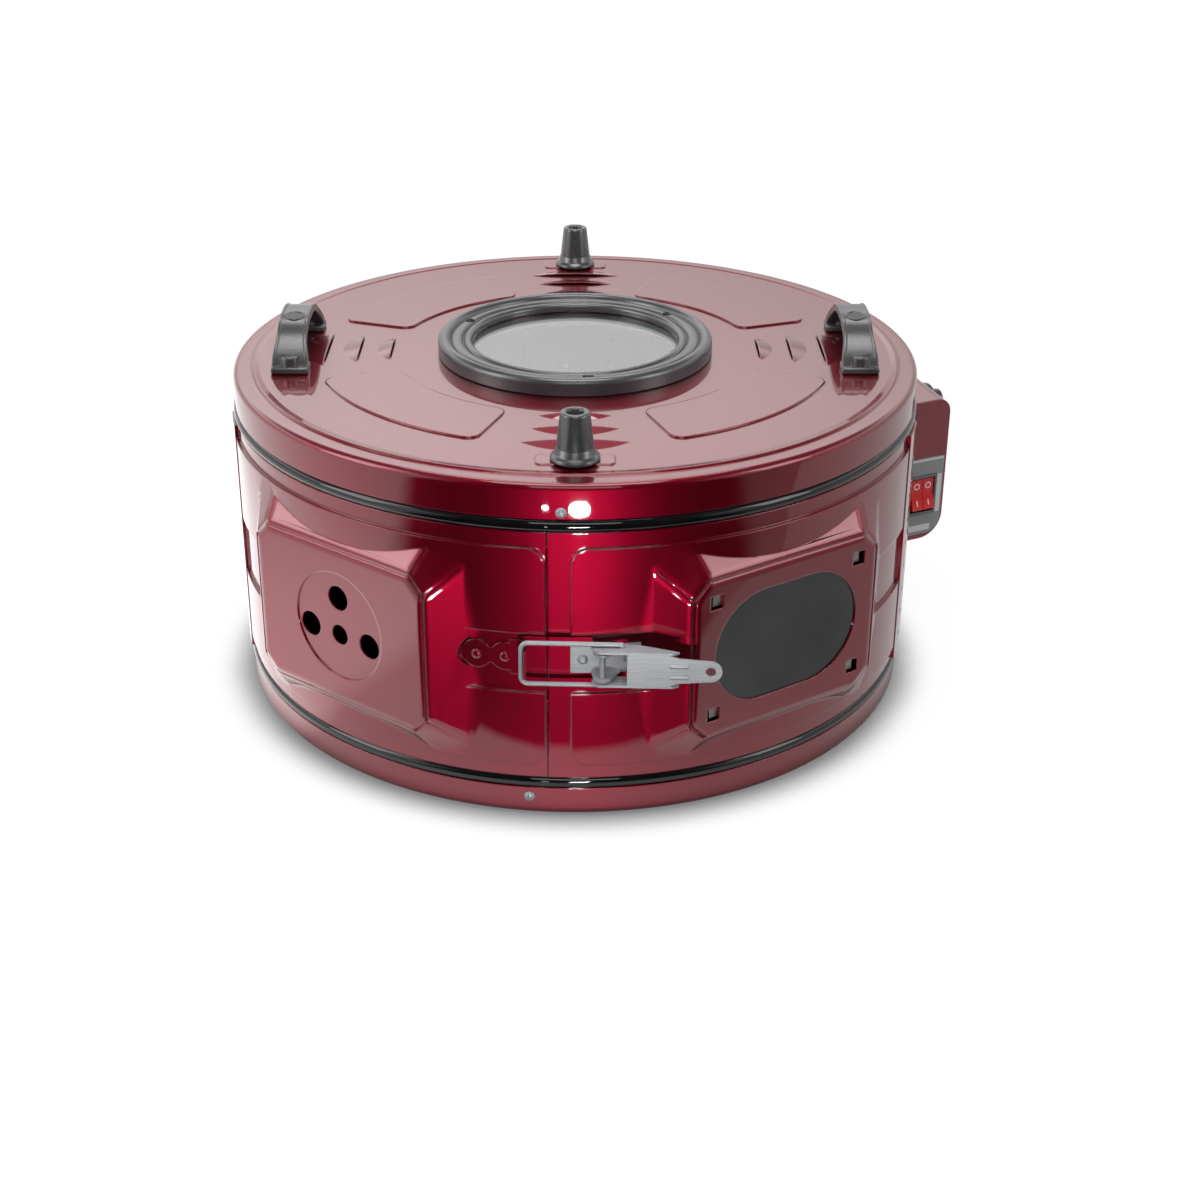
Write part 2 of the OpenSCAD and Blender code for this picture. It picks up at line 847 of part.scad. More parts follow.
module latch_lever() {
  tip_x = lever_len - lever_tip_r;
  color(zinc)
    latch_frame()
      translate([lever_pin_x, latch_y, 0])
        difference() {
          union() {
            for (side = [-1, 1])
              translate([0, 0, side * (cheek_half - strap / 2) - strap / 2])
                linear_extrude(height = strap)
                  polygon(cheek_outline());
            translate([0, strap - lever_back, 0])
              rotate([90, 0, 0])
                linear_extrude(height = strap)
                  polygon(concat([[lever_web_x, cheek_half], [lever_web_x, -cheek_half],
                    [lever_shoulder_x, -cheek_half], [lever_neck_x, -lever_neck_half],
                    [tip_x, -lever_tip_r]],
                    arc_points([tip_x, 0], lever_tip_r, -80, 80, 10),
                    [[tip_x, lever_tip_r], [lever_neck_x, lever_neck_half],
                      [lever_shoulder_x, cheek_half]]));
            for (side = [-1, 1])
              translate([lever_rib_x, -lever_back, side * lever_rib_dz])
                rotate([0, 90, 0])
                  cylinder(d = 2 * strap, h = lever_rib_l);
          }
          cylinder(d = latch_pin_d + 2 * pin_play, h = 60, center = true);
          translate([loop_pin_dx, loop_pin_dy, 0])
            cylinder(d = loop_wire + 2 * pin_play, h = 60, center = true);
          translate([tip_x, -lever_back, 0])
            cross_hole(lever_hole_d, 12);
        }
}

module latch_loop() {
  pin_x = lever_pin_x + loop_pin_dx;
  bar_y = latch_y + loop_pin_dy;
  bend = 5;
  end_in = strap + 0.9;
  color(zinc)
    latch_frame()
      translate([0, bar_y, 0])
        for (side = [0, 1])
          mirror([0, 0, side]) {
            translate([loop_bar_x, 0, 0])
              cylinder(d = loop_wire, h = loop_bar_z - bend);
            translate([loop_bar_x + bend, 0, loop_bar_z - bend])
              rotate([90, 0, 0])
                rotate([0, 0, 90])
                  rotate_extrude(angle = 90)
                    translate([bend, 0])
                      circle(d = loop_wire);
            translate([loop_bar_x + bend, 0, loop_bar_z])
              rotate([0, 90, 0])
                cylinder(d = loop_wire, h = pin_x - loop_bar_x - bend);
            translate([pin_x, 0, loop_bar_z])
              sphere(d = loop_wire);
            translate([pin_x, 0, cheek_half - end_in])
              cylinder(d = loop_wire, h = loop_bar_z - cheek_half + end_in);
          }
}

// Region under the lid top and inside its skirt, with its walls moved in by inset
module lid_region(inset) {
  low = lid_skirt_bottom - over * inset;
  slope = inset * (sqrt(2) - 1);
  translate([0, low])
    square([drum_r - lid_bend, body_h - inset - low]);
  translate([0, low])
    square([drum_r - inset, body_h - lid_bend - low]);
  translate([drum_r - lid_bend, body_h - lid_bend])
    circle(lid_bend - inset);
  polygon([[0, low], [0, lid_disc_z - inset], [lid_disc_r - slope, lid_disc_z - inset],
    [lid_disc_r - slope + lid_rise + over, body_h - inset - over], [lid_disc_r, low]]);
}

// One half-moon louvre on the lid disc at radius r, open towards the drum axis
module louvre(r, half, inset) {
  base = half / sqrt(1 - louvre_cut * louvre_cut);
  ball = (base * base + louvre_h * louvre_h) / (2 * louvre_h);
  translate([r - base * louvre_cut, 0, lid_disc_z])
    intersection() {
      translate([0, 0, louvre_h - ball])
        sphere(ball - inset);
      translate([base * louvre_cut - inset / 2, -base, -sheet / 2 - inset])
        cube([base, 2 * base, louvre_h + 2 * inset]);
    }
}

module louvres(inset) {
  for (i = [0:3], k = [0:2])
    rotate([0, 0, 90 * i])
      louvre(louvre_rs[k], louvre_halves[k], inset);
}

module fans(inset, z0, z1) {
  for (i = [0:3])
    rotate([0, 0, 45 + 90 * i])
      translate([0, 0, z0])
        linear_extrude(height = z1 - z0)
          polygon(fan_outline(fan_r0 + inset, fan_r1 - inset, fan_half_angle - inset / fan_r1 * 60,
            fan_corner - inset));
}

// Places a child on each end of both handles
module at_handle_ends() {
  for (side = [-1, 1], end = [-1, 1])
    translate([side * handle_x, end * (handle_l - handle_foot) / 2, lid_disc_z])
      children();
}

module at_cones() {
  for (side = [-1, 1])
    translate([0, side * cone_y, lid_disc_z + pad_rise])
      children();
}

module at_window_screws() {
  for (a = window_screw_angles)
    rotate([0, 0, a])
      translate([window_screw_r, 0, 0])
        children();
}

module lid_shell() {
  color(paint)
    difference() {
      union() {
        rotate_extrude()
          difference() {
            lid_region(0);
            lid_region(sheet);
          }
        fans(0, lid_disc_z - sheet / 2, lid_disc_z + fan_rise);
        louvres(0);
        for (side = [-1, 1])
          translate([0, side * cone_y, lid_disc_z - sheet / 2])
            linear_extrude(height = sheet / 2 + pad_rise)
              polygon(rounded_rect(pad_w, pad_l, 4));
      }
      fans(sheet, lid_disc_z - sheet - over, lid_disc_z + fan_rise - sheet);
      louvres(sheet);
      translate([0, 0, body_h - 20])
        cylinder(d = lid_window_d, h = 40);
      at_handle_ends()
        cylinder(d = screw_hole_d, h = 20, center = true);
      at_cones()
        cylinder(d = screw_hole_d, h = 20, center = true);
      at_window_screws()
        translate([0, 0, body_h])
          cylinder(d = screw_hole_d, h = 20, center = true);
      skirt_holes(lid_screw_z, 0, lid_screw_angles);
      rotate([0, 0, ring_turn])
        hinge_lid_holes();
    }
}

module lid_liner() {
  color(enamel)
    difference() {
      rotate_extrude()
        difference() {
          pan_region(0, liner_z, lid_seat_z - collar_h, top_bead_z);
          pan_region(sheet, liner_z, lid_seat_z - collar_h, top_bead_z);
          translate([pan_r, lid_seat_z - bead_d])
            square([bead_d, bead_d]);
        }
      translate([0, 0, liner_z - 10])
        cylinder(r = liner_hole_r, h = 20);
      skirt_holes(lid_screw_z, 0, lid_screw_angles);
      rotate([0, 0, ring_turn])
        hinge_lid_holes();
      element_ends(lid_element_r)
        translate([0, 0, liner_z])
          cylinder(d = bush_hole_d, h = 20, center = true);
    }
}

module lid_screws() {
  color(zinc)
    skirt_screws(lid_screw_z, 0, lid_screw_angles);
}

module lid_element() {
  color(steel)
    translate([0, 0, lid_element_z])
      heating_tube(lid_element_r, liner_z + 4 - lid_element_z);
}

module lid_element_clips() {
  color(zinc)
    tube_clips(lid_element_r, liner_z - sheet, lid_element_z);
}

module lid_bushes() {
  color(ceramic)
    end_bushes(lid_element_r, liner_z, 1);
}

module window_ring() {
  seat_h = glass_t + glass_fit;
  out_groove = window_out_r - 2 * window_roll - glass_fit;
  in_groove = window_bore_r + 2 * window_lip + glass_fit;
  color(bakelite)
    translate([0, 0, lid_disc_z])
      difference() {
        rotate_extrude()
          polygon(concat([[window_bore_r, seat_h], [glass_r + glass_fit, seat_h], [glass_r + glass_fit, 0],
              [window_out_r, 0]],
            arc_points([window_out_r - window_roll, window_ring_h - window_roll], window_roll, 0, 165, 12),
            [[out_groove, window_groove_h], [out_groove - window_groove_w, window_band_h],
              [in_groove + window_groove_w, window_band_h], [in_groove, window_groove_h - 0.5]],
            arc_points([window_bore_r + window_lip, window_band_h - window_lip], window_lip, 20, 180, 10)));
        at_window_screws()
          translate([0, 0, window_screw_h]) {
            cylinder(d = screw_hole_d, h = 4 * window_ring_h, center = true);
            cylinder(d = screw_head_d + 0.6, h = window_ring_h);
          }
      }
}

module window_glass() {
  color("#c8c8c6")
    translate([0, 0, lid_disc_z])
      cylinder(r = glass_r, h = glass_t);
}

module window_sleeve() {
  color(zinc)
    translate([0, 0, liner_z])
      difference() {
        cylinder(r = sleeve_r, h = lid_disc_z - sheet - liner_z);
        translate([0, 0, -over])
          cylinder(r = sleeve_r - sheet, h = lid_disc_z);
      }
}

module window_screws() {
  color(steel)
    at_window_screws()
      translate([0, 0, lid_disc_z + window_screw_h])
        rotate([-90, 0, 0])
          screw(window_screw_h + sheet + 3);
}

// Bow of a handle seen from its side: y along it and z up
function bow(half, rise) =
  [for (i = [-16:16]) [half * i / 16, rise * (1 - pow(abs(i / 16), 2.6))]];

function reversed(points) = [for (i = [len(points) - 1:-1:0]) points[i]];

// Half width of a handle at y, with its flared feet
function handle_half(y) = let (t = min(max((abs(y) - handle_l / 2 + 13) / 9, 0), 1))
  handle_w / 2 - handle_waist * (1 - t * t * (3 - 2 * t));

function handle_edge(side) =
  [for (i = [-24:24]) let (y = handle_l / 48 * i) [side * handle_half(y), y]];

module handle(side) {
  color(bakelite)
    translate([side * handle_x, 0, lid_disc_z])
      difference() {
        intersection() {
          union() {
            rotate([90, 0, 90])
              linear_extrude(height = 2 * handle_w, center = true)
                polygon(concat(bow(handle_l / 2, handle_h),
                  reversed(bow(handle_l / 2 - handle_root, handle_h - handle_bar))));
            for (end = [-1, 1])
              translate([-handle_w, end * (handle_l - handle_foot) / 2 - handle_foot / 2, 0])
                cube([2 * handle_w, handle_foot, handle_foot_h]);
          }
          translate([0, 0, -over])
            linear_extrude(height = 2 * handle_h)
              polygon(concat(handle_edge(1), reversed(handle_edge(-1))));
        }
        for (end = [-1, 1])
          translate([0, end * (handle_l - handle_foot) / 2, 0])
            cylinder(d = screw_hole_d, h = 2 * handle_foot_h + 7, center = true);
      }
}

module handle_left() {
  handle(-1);
}

module handle_right() {
  handle(1);
}

module handle_screws() {
  color(steel)
    at_handle_ends()
      translate([0, 0, -sheet])
        rotate([90, 0, 0])
          screw(sheet + handle_foot_h + 3);
}

module foot_cone() {
  flange_r = cone_flange_d / 2;
  tip_r = cone_tip_d / 2;
  color(bakelite)
    rotate_extrude()
      polygon([[screw_hole_d / 2, 0], [flange_r - cone_edge, 0], [flange_r, 1.5 * cone_edge],
        [flange_r - cone_edge, cone_flange_h - cone_edge], [cone_base_d / 2, cone_flange_h + cone_edge],
        [tip_r, cone_h - cone_edge], [tip_r - cone_edge, cone_h], [cone_bore_d / 2, cone_h],
        [cone_bore_d / 2, cone_seat_h], [screw_hole_d / 2, cone_seat_h]]);
}

module foot_front() {
  translate([0, -cone_y, lid_disc_z + pad_rise])
    foot_cone();
}

module foot_rear() {
  translate([0, cone_y, lid_disc_z + pad_rise])
    foot_cone();
}

module foot_screws() {
  color(steel)
    at_cones()
      translate([0, 0, cone_seat_h])
        rotate([-90, 0, 0])
          screw(cone_seat_h + pad_rise + sheet + 4);
}

module hinge_rivet_holes() {
  for (x = [-hinge_rivet_dx, hinge_rivet_dx], z = hinge_rivet_zs)
    translate([x, -boss_reach, z - boss_z])
      cross_hole(rivet_hole_d, 16);
}

hinge_lid_rivet_z = lid_skirt_bottom + 11;
hinge_lid_rivet_angles = [180 - 4.5, 180 + 4.5];

module hinge_lid_holes() {
  for (a = hinge_lid_rivet_angles)
    rotate([0, 0, a])
      translate([0, -drum_r, hinge_lid_rivet_z])
        cross_hole(rivet_hole_d, 16);
}

// Places a hinge feature at the pin, with X along the pin and -Y away from the drum
module on_hinge() {
  rotate([0, 0, ring_turn + 180])
    translate([0, -hinge_y, hinge_z])
      children();
}

// Knuckle with its web: a slice across the hinge from x0 to x1
module knuckle(x0, x1, web) {
  translate([x0, 0, 0])
    rotate([90, 0, 90])
      linear_extrude(height = x1 - x0)
        union() {
          circle(hinge_knuckle_r);
          polygon(web);
        }
}

module pin_bore(d) {
  rotate([0, 90, 0])
    cylinder(d = d, h = 2 * hinge_w, center = true);
}

module hinge_band_leaf() {
  drop = hinge_z - hinge_leaf_z0;
  leaf_y = hinge_y - boss_reach;
  color(zinc)
    difference() {
      on_hinge()
        difference() {
          union() {
            translate([-hinge_w / 2, leaf_y - hinge_leaf_t, -drop])
              cube([hinge_w, hinge_leaf_t, drop - hinge_knuckle_r - hinge_gap]);
            for (side = [-1, 1])
              knuckle(side > 0 ? hinge_part / 2 + hinge_gap / 2 : -hinge_w / 2,
                side > 0 ? hinge_w / 2 : -hinge_part / 2 - hinge_gap / 2,
                [[leaf_y, 0], [leaf_y, -2 * hinge_knuckle_r],
                  [leaf_y - hinge_leaf_t, -2 * hinge_knuckle_r], [leaf_y - hinge_leaf_t, 0]]);
          }
          pin_bore(hinge_pin_d + 2 * pin_play);
        }
      on_boss(hinge_boss)
        hinge_rivet_holes();
    }
}

module hinge_lid_leaf() {
  skirt_y = hinge_y - drum_r;
  low = lid_skirt_bottom + 2;
  tall = body_h - lid_bend - low;
  x1 = hinge_part / 2 - hinge_gap / 2;
  color(zinc)
    difference() {
      union() {
        rotate([0, 0, ring_turn + 90 - hinge_leaf_angle])
          rotate_extrude(angle = 2 * hinge_leaf_angle)
            translate([drum_r, low])
              square([hinge_leaf_t, tall]);
        on_hinge()
          difference() {
            knuckle(-x1, x1, [[0, hinge_knuckle_r], [skirt_y - hinge_leaf_t, low - hinge_z + 7],
              [skirt_y - hinge_leaf_t + 0.8, low - hinge_z + 7],
              [skirt_y - hinge_leaf_t + 0.8, low - hinge_z], [2, -2]]);
            pin_bore(hinge_pin_d + 2 * pin_play);
          }
      }
      rotate([0, 0, ring_turn])
        hinge_lid_holes();
    }
}

module hinge_pin() {
  color(steel)
    on_hinge()
      rotate([0, 90, 0])
        cylinder(d = hinge_pin_d, h = hinge_w + 4, center = true);
}

module hinge_rivets() {
  color(zinc)
    on_boss(hinge_boss)
      for (x = [-hinge_rivet_dx, hinge_rivet_dx], z = hinge_rivet_zs)
        translate([x, -boss_reach - hinge_leaf_t, z - boss_z])
          rivet(hinge_leaf_t + sheet + 2);
}

module hinge_lid_rivets() {
  color(zinc)
    rotate([0, 0, ring_turn])
      for (a = hinge_lid_rivet_angles)
        rotate([0, 0, a])
          translate([0, -drum_r - hinge_leaf_t, hinge_lid_rivet_z])
            rivet(hinge_leaf_t + 2 * sheet + pan_fit + 1.5);
}

module box_screw_holes() {
  for (x = [box_shift - box_screw_dx, box_shift + box_screw_dx], z = box_screw_zs)
    translate([x, -boss_reach, z - boss_z])
      cross_hole(screw_hole_d, 16);
}

// Side view of the control box: reach past the boss along X and height along Y
module box_side(inset) {
  reach = box_reach - plate_t;
  foot = box_foot_bend - inset;
  top = box_top_bend - inset;
  polygon(concat([[-over * inset, inset]],
    arc_points([reach - box_foot_bend, box_foot_bend], foot, -90, 0, 8),
    arc_points([reach - box_top_bend, box_h - box_top_bend], top, 0, 90, 8),
    [[-over * inset, box_h - inset]]));
}

// Plan of the control box: tapered towards its outer face
module box_plan(inset) {
  side = inset * sqrt(1 + box_run * box_run);
  half = box_w / 2 - side;
  reach = box_reach + 2;
  polygon([[-half - over * box_run, over], [half + over * box_run, over],
    [half - box_run * reach, -reach], [-half + box_run * reach, -reach]]);
}

// Side view of the box drawn out across its width
module box_prism(inset) {
  rotate([90, 0, -90])
    linear_extrude(height = 2 * box_w, center = true)
      box_side(inset);
}

module on_box() {
  on_boss(box_boss)
    translate([box_shift, -box_y0, box_z - boss_z])
      children();
}

module box_form(inset) {
  on_box()
    intersection() {
      box_prism(inset);
      translate([0, 0, -over])
        linear_extrude(height = box_h + 2 * over)
          box_plan(inset);
    }
}

module control_box() {
  color(paint)
    difference() {
      box_form(0);
      box_form(sheet);
      on_panel()
        translate([-bezel_w / 2 + 1, -over, -bezel_h / 2 + 1])
          cube([bezel_w - 2, 12, bezel_h - 2]);
      on_boss(box_boss)
        translate([gland_u, -boss_reach - box_reach, gland_z - boss_z])
          cross_hole(gland_d - 10, 12);
    }
}

module box_back_plate() {
  color(zinc)
    on_boss(box_boss)
      difference() {
        translate([box_shift - box_w / 2, -box_y0, box_z - boss_z])
          cube([box_w, plate_t, box_h]);
        box_screw_holes();
      }
}

module box_screws() {
  color(zinc)
    on_boss(box_boss)
      for (x = [box_shift - box_screw_dx, box_shift + box_screw_dx], z = box_screw_zs)
        translate([x, sheet - boss_reach, z - boss_z])
          rotate([0, 0, 180])
            screw(sheet + plate_t + 5);
}

module switch_panel() {
  color("#8d8f92")
    intersection() {
      on_panel()
        difference() {
          translate([panel_x0, -panel_t, panel_z0])
            cube([panel_x1 - panel_x0, panel_t, panel_z1 - panel_z0]);
          translate([-bezel_w / 2 + 1, -over - panel_t, -bezel_h / 2 + 1])
            cube([bezel_w - 2, 12, bezel_h - 2]);
        }
      on_box()
        box_prism(1.5);
    }
}

module switch_bezel() {
  inner_w = bezel_w - 2 * bezel_frame;
  inner_h = bezel_h - 2 * bezel_frame;
  color(bakelite)
    on_panel()
      difference() {
        union() {
          translate([-bezel_w / 2, -panel_t - bezel_t, -bezel_h / 2])
            cube([bezel_w, bezel_t, bezel_h]);
          translate([-bezel_w / 2 + 1.2, -panel_t - 0.1, -bezel_h / 2 + 1.2])
            cube([bezel_w - 2.4, switch_body_depth, bezel_h - 2.4]);
        }
        translate([-inner_w / 2, -panel_t - bezel_t - over, -inner_h / 2])
          cube([inner_w, bezel_t + over + switch_body_depth - 3, inner_h]);
        translate([0, rocker_pivot_y, 0])
          rotate([0, 90, 0])
            cylinder(d = rocker_pin_d + 2 * pin_play, h = inner_w + 1.6, center = true);
      }
}

// Rocker that pivots about X, drawn with its upper end pressed in
module rocker(x) {
  face = panel_t + bezel_t + rocker_pivot_y;
  on_panel()
    translate([x, rocker_pivot_y, 0])
      rotate([-rocker_tilt, 0, 0])
        rotate([90, 0, 90])
          linear_extrude(height = rocker_w, center = true)
            polygon([[0, -5], [5, 0], [0, 5], [3 - face, rocker_half - 1], [-face - 1, rocker_half - 1.6],
              [-face + 1, 0], [-face - 1, 1.6 - rocker_half], [3 - face, 1 - rocker_half]]);
}

module rocker_left() {
  color("#c81e22") {
    rocker(-(rocker_w + rocker_gap) / 2);
    rocker_pin(-1);
  }
}

module rocker_right() {
  color("#c81e22") {
    rocker((rocker_w + rocker_gap) / 2);
    rocker_pin(1);
  }
}

// Stub pin at the outer side of a rocker
module rocker_pin(side) {
  reach = rocker_w + rocker_gap / 2;
  on_panel()
    translate([side * (reach - 1), rocker_pivot_y, 0])
      rotate([0, side * 90, 0])
        cylinder(d = rocker_pin_d, h = 1 + rocker_gap + 0.7);
}

module cable_gland() {
  color(bakelite)
    on_boss(box_boss)
      translate([gland_u, -boss_reach - box_reach, gland_z - boss_z])
        rotate([90, 0, 0])
          rotate_extrude()
            polygon([[4, -6], [gland_d / 2 - 5.2, -6], [gland_d / 2 - 5.2, 0], [gland_d / 2, 0],
              [gland_d / 2, 5], [gland_d / 2 - 2, 7], [gland_d / 2 - 5, 7], [9, 15], [4, 15]]);
}

module terminal_block() {
  color(ceramic)
    on_boss(box_boss)
      translate([box_shift + 4, -box_y0 - 16, box_z - boss_z + 24])
        difference() {
          cube([40, 16, 20]);
          for (i = [0:2])
            translate([8 + 12 * i, -over, 10])
              rotate([-90, 0, 0])
                cylinder(d = 7, h = 8);
        }
}

base_shell();
base_pan();
base_screws();
base_element();
base_element_clips();
base_bushes();
ring_band();
side_glass();
catch_plate();
latch_bracket();
latch_rivets();
latch_pin();
latch_lever();
latch_loop();
lid_shell();
lid_liner();
lid_screws();
lid_element();
lid_element_clips();
lid_bushes();
window_ring();
window_glass();
window_sleeve();
window_screws();
handle_left();
handle_right();
handle_screws();
foot_front();
foot_rear();
foot_screws();
hinge_band_leaf();
hinge_lid_leaf();
hinge_pin();
hinge_rivets();
hinge_lid_rivets();
control_box();
box_back_plate();
box_screws();
switch_panel();
switch_bezel();
rocker_left();
rocker_right();
cable_gland();
terminal_block();
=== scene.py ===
"""Looks of a round electric oven: pressed red drum, black beads, hinged lid, toggle latch and switch box."""

import json
import logging
import math
from dataclasses import dataclass, field
from enum import Enum
from typing import Iterable, Sequence

import bpy
from mathutils import Matrix, Vector


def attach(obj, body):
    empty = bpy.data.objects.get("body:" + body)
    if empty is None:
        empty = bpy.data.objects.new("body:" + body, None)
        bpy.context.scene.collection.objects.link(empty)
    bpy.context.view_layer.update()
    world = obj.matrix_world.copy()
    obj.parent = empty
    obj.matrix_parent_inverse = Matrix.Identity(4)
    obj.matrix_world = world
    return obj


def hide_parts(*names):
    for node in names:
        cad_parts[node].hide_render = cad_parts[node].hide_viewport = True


LOG = logging.getLogger("round_oven")
MM = 0.001

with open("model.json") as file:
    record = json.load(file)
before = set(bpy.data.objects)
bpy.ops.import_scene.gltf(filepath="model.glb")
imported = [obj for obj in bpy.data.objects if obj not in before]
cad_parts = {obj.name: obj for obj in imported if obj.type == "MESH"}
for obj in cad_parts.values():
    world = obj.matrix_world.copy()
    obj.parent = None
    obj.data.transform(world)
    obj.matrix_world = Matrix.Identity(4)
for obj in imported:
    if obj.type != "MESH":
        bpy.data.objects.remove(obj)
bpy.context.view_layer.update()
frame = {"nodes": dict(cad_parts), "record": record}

# Places on the oven that several pieces share, with turns in degrees from the front
DRUM_R = 255 * MM
LID_DISC_Z = 248.4 * MM
RING_TURN = -2.5
BOSS_Z = 119.5 * MM
BOSS_REACH = 260 * MM
CONE_Y = 217 * MM
HANDLE_X = 208 * MM
BASE_SCREW_Z = 14.76 * MM
BASE_SCREW_TURNS = (-7, 83, 173, 263)
LID_SCREW_Z = 227.66 * MM
LID_SCREW_TURNS = (-2, 90, 270)

# Tolerances for spun and copied meshes, with angles in degrees
WELD = 0.01 * MM
COPY_WELD = 0.002 * MM
FLAT_ANGLE = 0.3
BEND_ANGLE = 20.0
SMOOTH_ANGLE = 32.0

# Settings that all finishes share
COAT_ROUGHNESS = 0.03
COAT_IOR = 1.6
PATTERN_SPAN = (0.3, 0.7)
EDGE_SAMPLES = 6

Tree = bpy.types.NodeTree
Socket = bpy.types.NodeSocket


class Body(str, Enum):
    """Moving groups that a piece can ride on."""

    OVEN = "oven_body"
    LID = "lid"
    LEVER = "lever"
    ROCKER_A = "rocker_a"
    ROCKER_B = "rocker_b"


class Slot(str, Enum):
    """Material slots of the part's record."""

    RED_PAINT = "red_paint"
    BLACK_ENAMEL = "black_enamel"
    BLACK_PLASTIC = "black_plastic"
    ZINC = "zinc"
    ELEMENT_STEEL = "element_steel"
    CERAMIC = "ceramic"
    DARK_GLASS = "dark_glass"
    CLEAR_GLASS = "clear_glass"
    GREY_PANEL = "grey_panel"
    RED_PLASTIC = "red_plastic"


@dataclass(frozen=True)
class Finish:
    """A surface finish that makes one procedural material.

    Args:
        name: name of the material.
        colour: main colour, linear.
        shade: second colour that the pattern mixes in, linear.
        metallic: metallic share of the surface.
        rough: lowest and highest roughness.
        coat: weight of the clear coat.
        scale: pattern repeats per metre along x, y and z.
        bump: height of the surface grain in metres.
        transmission: share of light that passes through.
        edge: radius that sharp edges show, in metres.
        detail: fineness of the pattern.
        specular: strength of the mirrored light on a surface that isn't metallic.
    """

    name: str
    colour: tuple[float, float, float]
    shade: tuple[float, float, float]
    metallic: float = 0.0
    rough: tuple[float, float] = (0.3, 0.4)
    coat: float = 0.0
    scale: tuple[float, float, float] = (300.0, 300.0, 300.0)
    bump: float = 0.0
    transmission: float = 0.0
    edge: float = 0.0
    detail: float = 4.0
    specular: float = 0.5

    def material(self) -> bpy.types.Material:
        """Makes the material on its first use.

        Returns:
            The material.
        """
        found = bpy.data.materials.get(self.name)
        if found:
            return found
        material = bpy.data.materials.new(self.name)
        material.use_nodes = True
        tree = material.node_tree
        shader = tree.nodes["Principled BSDF"]
        shader.inputs["Metallic"].default_value = self.metallic
        shader.inputs["Specular IOR Level"].default_value = self.specular
        shader.inputs["Coat Weight"].default_value = self.coat
        shader.inputs["Coat Roughness"].default_value = COAT_ROUGHNESS
        shader.inputs["Coat IOR"].default_value = COAT_IOR
        shader.inputs["Transmission Weight"].default_value = self.transmission
        noise = self._noise(tree)
        self._mix_colour(tree, noise, shader)
        self._mix_roughness(tree, noise, shader)
        self._grain(tree, noise, shader)
        return material

    def _noise(self, tree: Tree) -> bpy.types.Node:
        """Adds the pattern on Object coordinates.

        Args:
            tree: node tree to add to.

        Returns:
            The pattern's node.
        """
        place = tree.nodes.new("ShaderNodeTexCoord")
        mapping = tree.nodes.new("ShaderNodeMapping")
        mapping.inputs["Scale"].default_value = self.scale
        noise = tree.nodes.new("ShaderNodeTexNoise")
        noise.inputs["Scale"].default_value = 1.0
        noise.inputs["Detail"].default_value = self.detail
        tree.links.new(place.outputs["Object"], mapping.inputs["Vector"])
        tree.links.new(mapping.outputs["Vector"], noise.inputs["Vector"])
        return noise

    def _mix_colour(self, tree: Tree, noise: bpy.types.Node, shader: bpy.types.Node) -> None:
        """Mixes the two colours by the pattern.

        Args:
            tree: node tree to add to.
            noise: node of the pattern.
            shader: node of the surface.
        """
        ramp = tree.nodes.new("ShaderNodeValToRGB")
        for stop, position, colour in zip(ramp.color_ramp.elements, PATTERN_SPAN, (self.shade, self.colour)):
            stop.position = position
            stop.color = (*colour, 1.0)
        tree.links.new(noise.outputs["Fac"], ramp.inputs["Fac"])
        tree.links.new(ramp.outputs["Color"], shader.inputs["Base Color"])

    def _mix_roughness(self, tree: Tree, noise: bpy.types.Node, shader: bpy.types.Node) -> None:
        """Varies the roughness by the pattern.

        Args:
            tree: node tree to add to.
            noise: node of the pattern.
            shader: node of the surface.
        """
        span = tree.nodes.new("ShaderNodeMapRange")
        span.inputs["To Min"].default_value = self.rough[0]
        span.inputs["To Max"].default_value = self.rough[1]
        tree.links.new(noise.outputs["Fac"], span.inputs["Value"])
        tree.links.new(span.outputs["Result"], shader.inputs["Roughness"])

    def _grain(self, tree: Tree, noise: bpy.types.Node, shader: bpy.types.Node) -> None:
        """Adds the surface grain and the soft look of sharp edges.

        Args:
            tree: node tree to add to.
            noise: node of the pattern.
            shader: node of the surface.
        """
        bevel = None
        if self.edge:
            bevel = tree.nodes.new("ShaderNodeBevel")
            bevel.samples = EDGE_SAMPLES
            bevel.inputs["Radius"].default_value = self.edge
            tree.links.new(bevel.outputs["Normal"], shader.inputs["Normal"])
            tree.links.new(bevel.outputs["Normal"], shader.inputs["Coat Normal"])
        if self.bump:
            bump = tree.nodes.new("ShaderNodeBump")
            bump.inputs["Strength"].default_value = 1.0
            bump.inputs["Distance"].default_value = self.bump
            tree.links.new(noise.outputs["Fac"], bump.inputs["Height"])
            if bevel:
                tree.links.new(bevel.outputs["Normal"], bump.inputs["Normal"])
            tree.links.new(bump.outputs["Normal"], shader.inputs["Normal"])


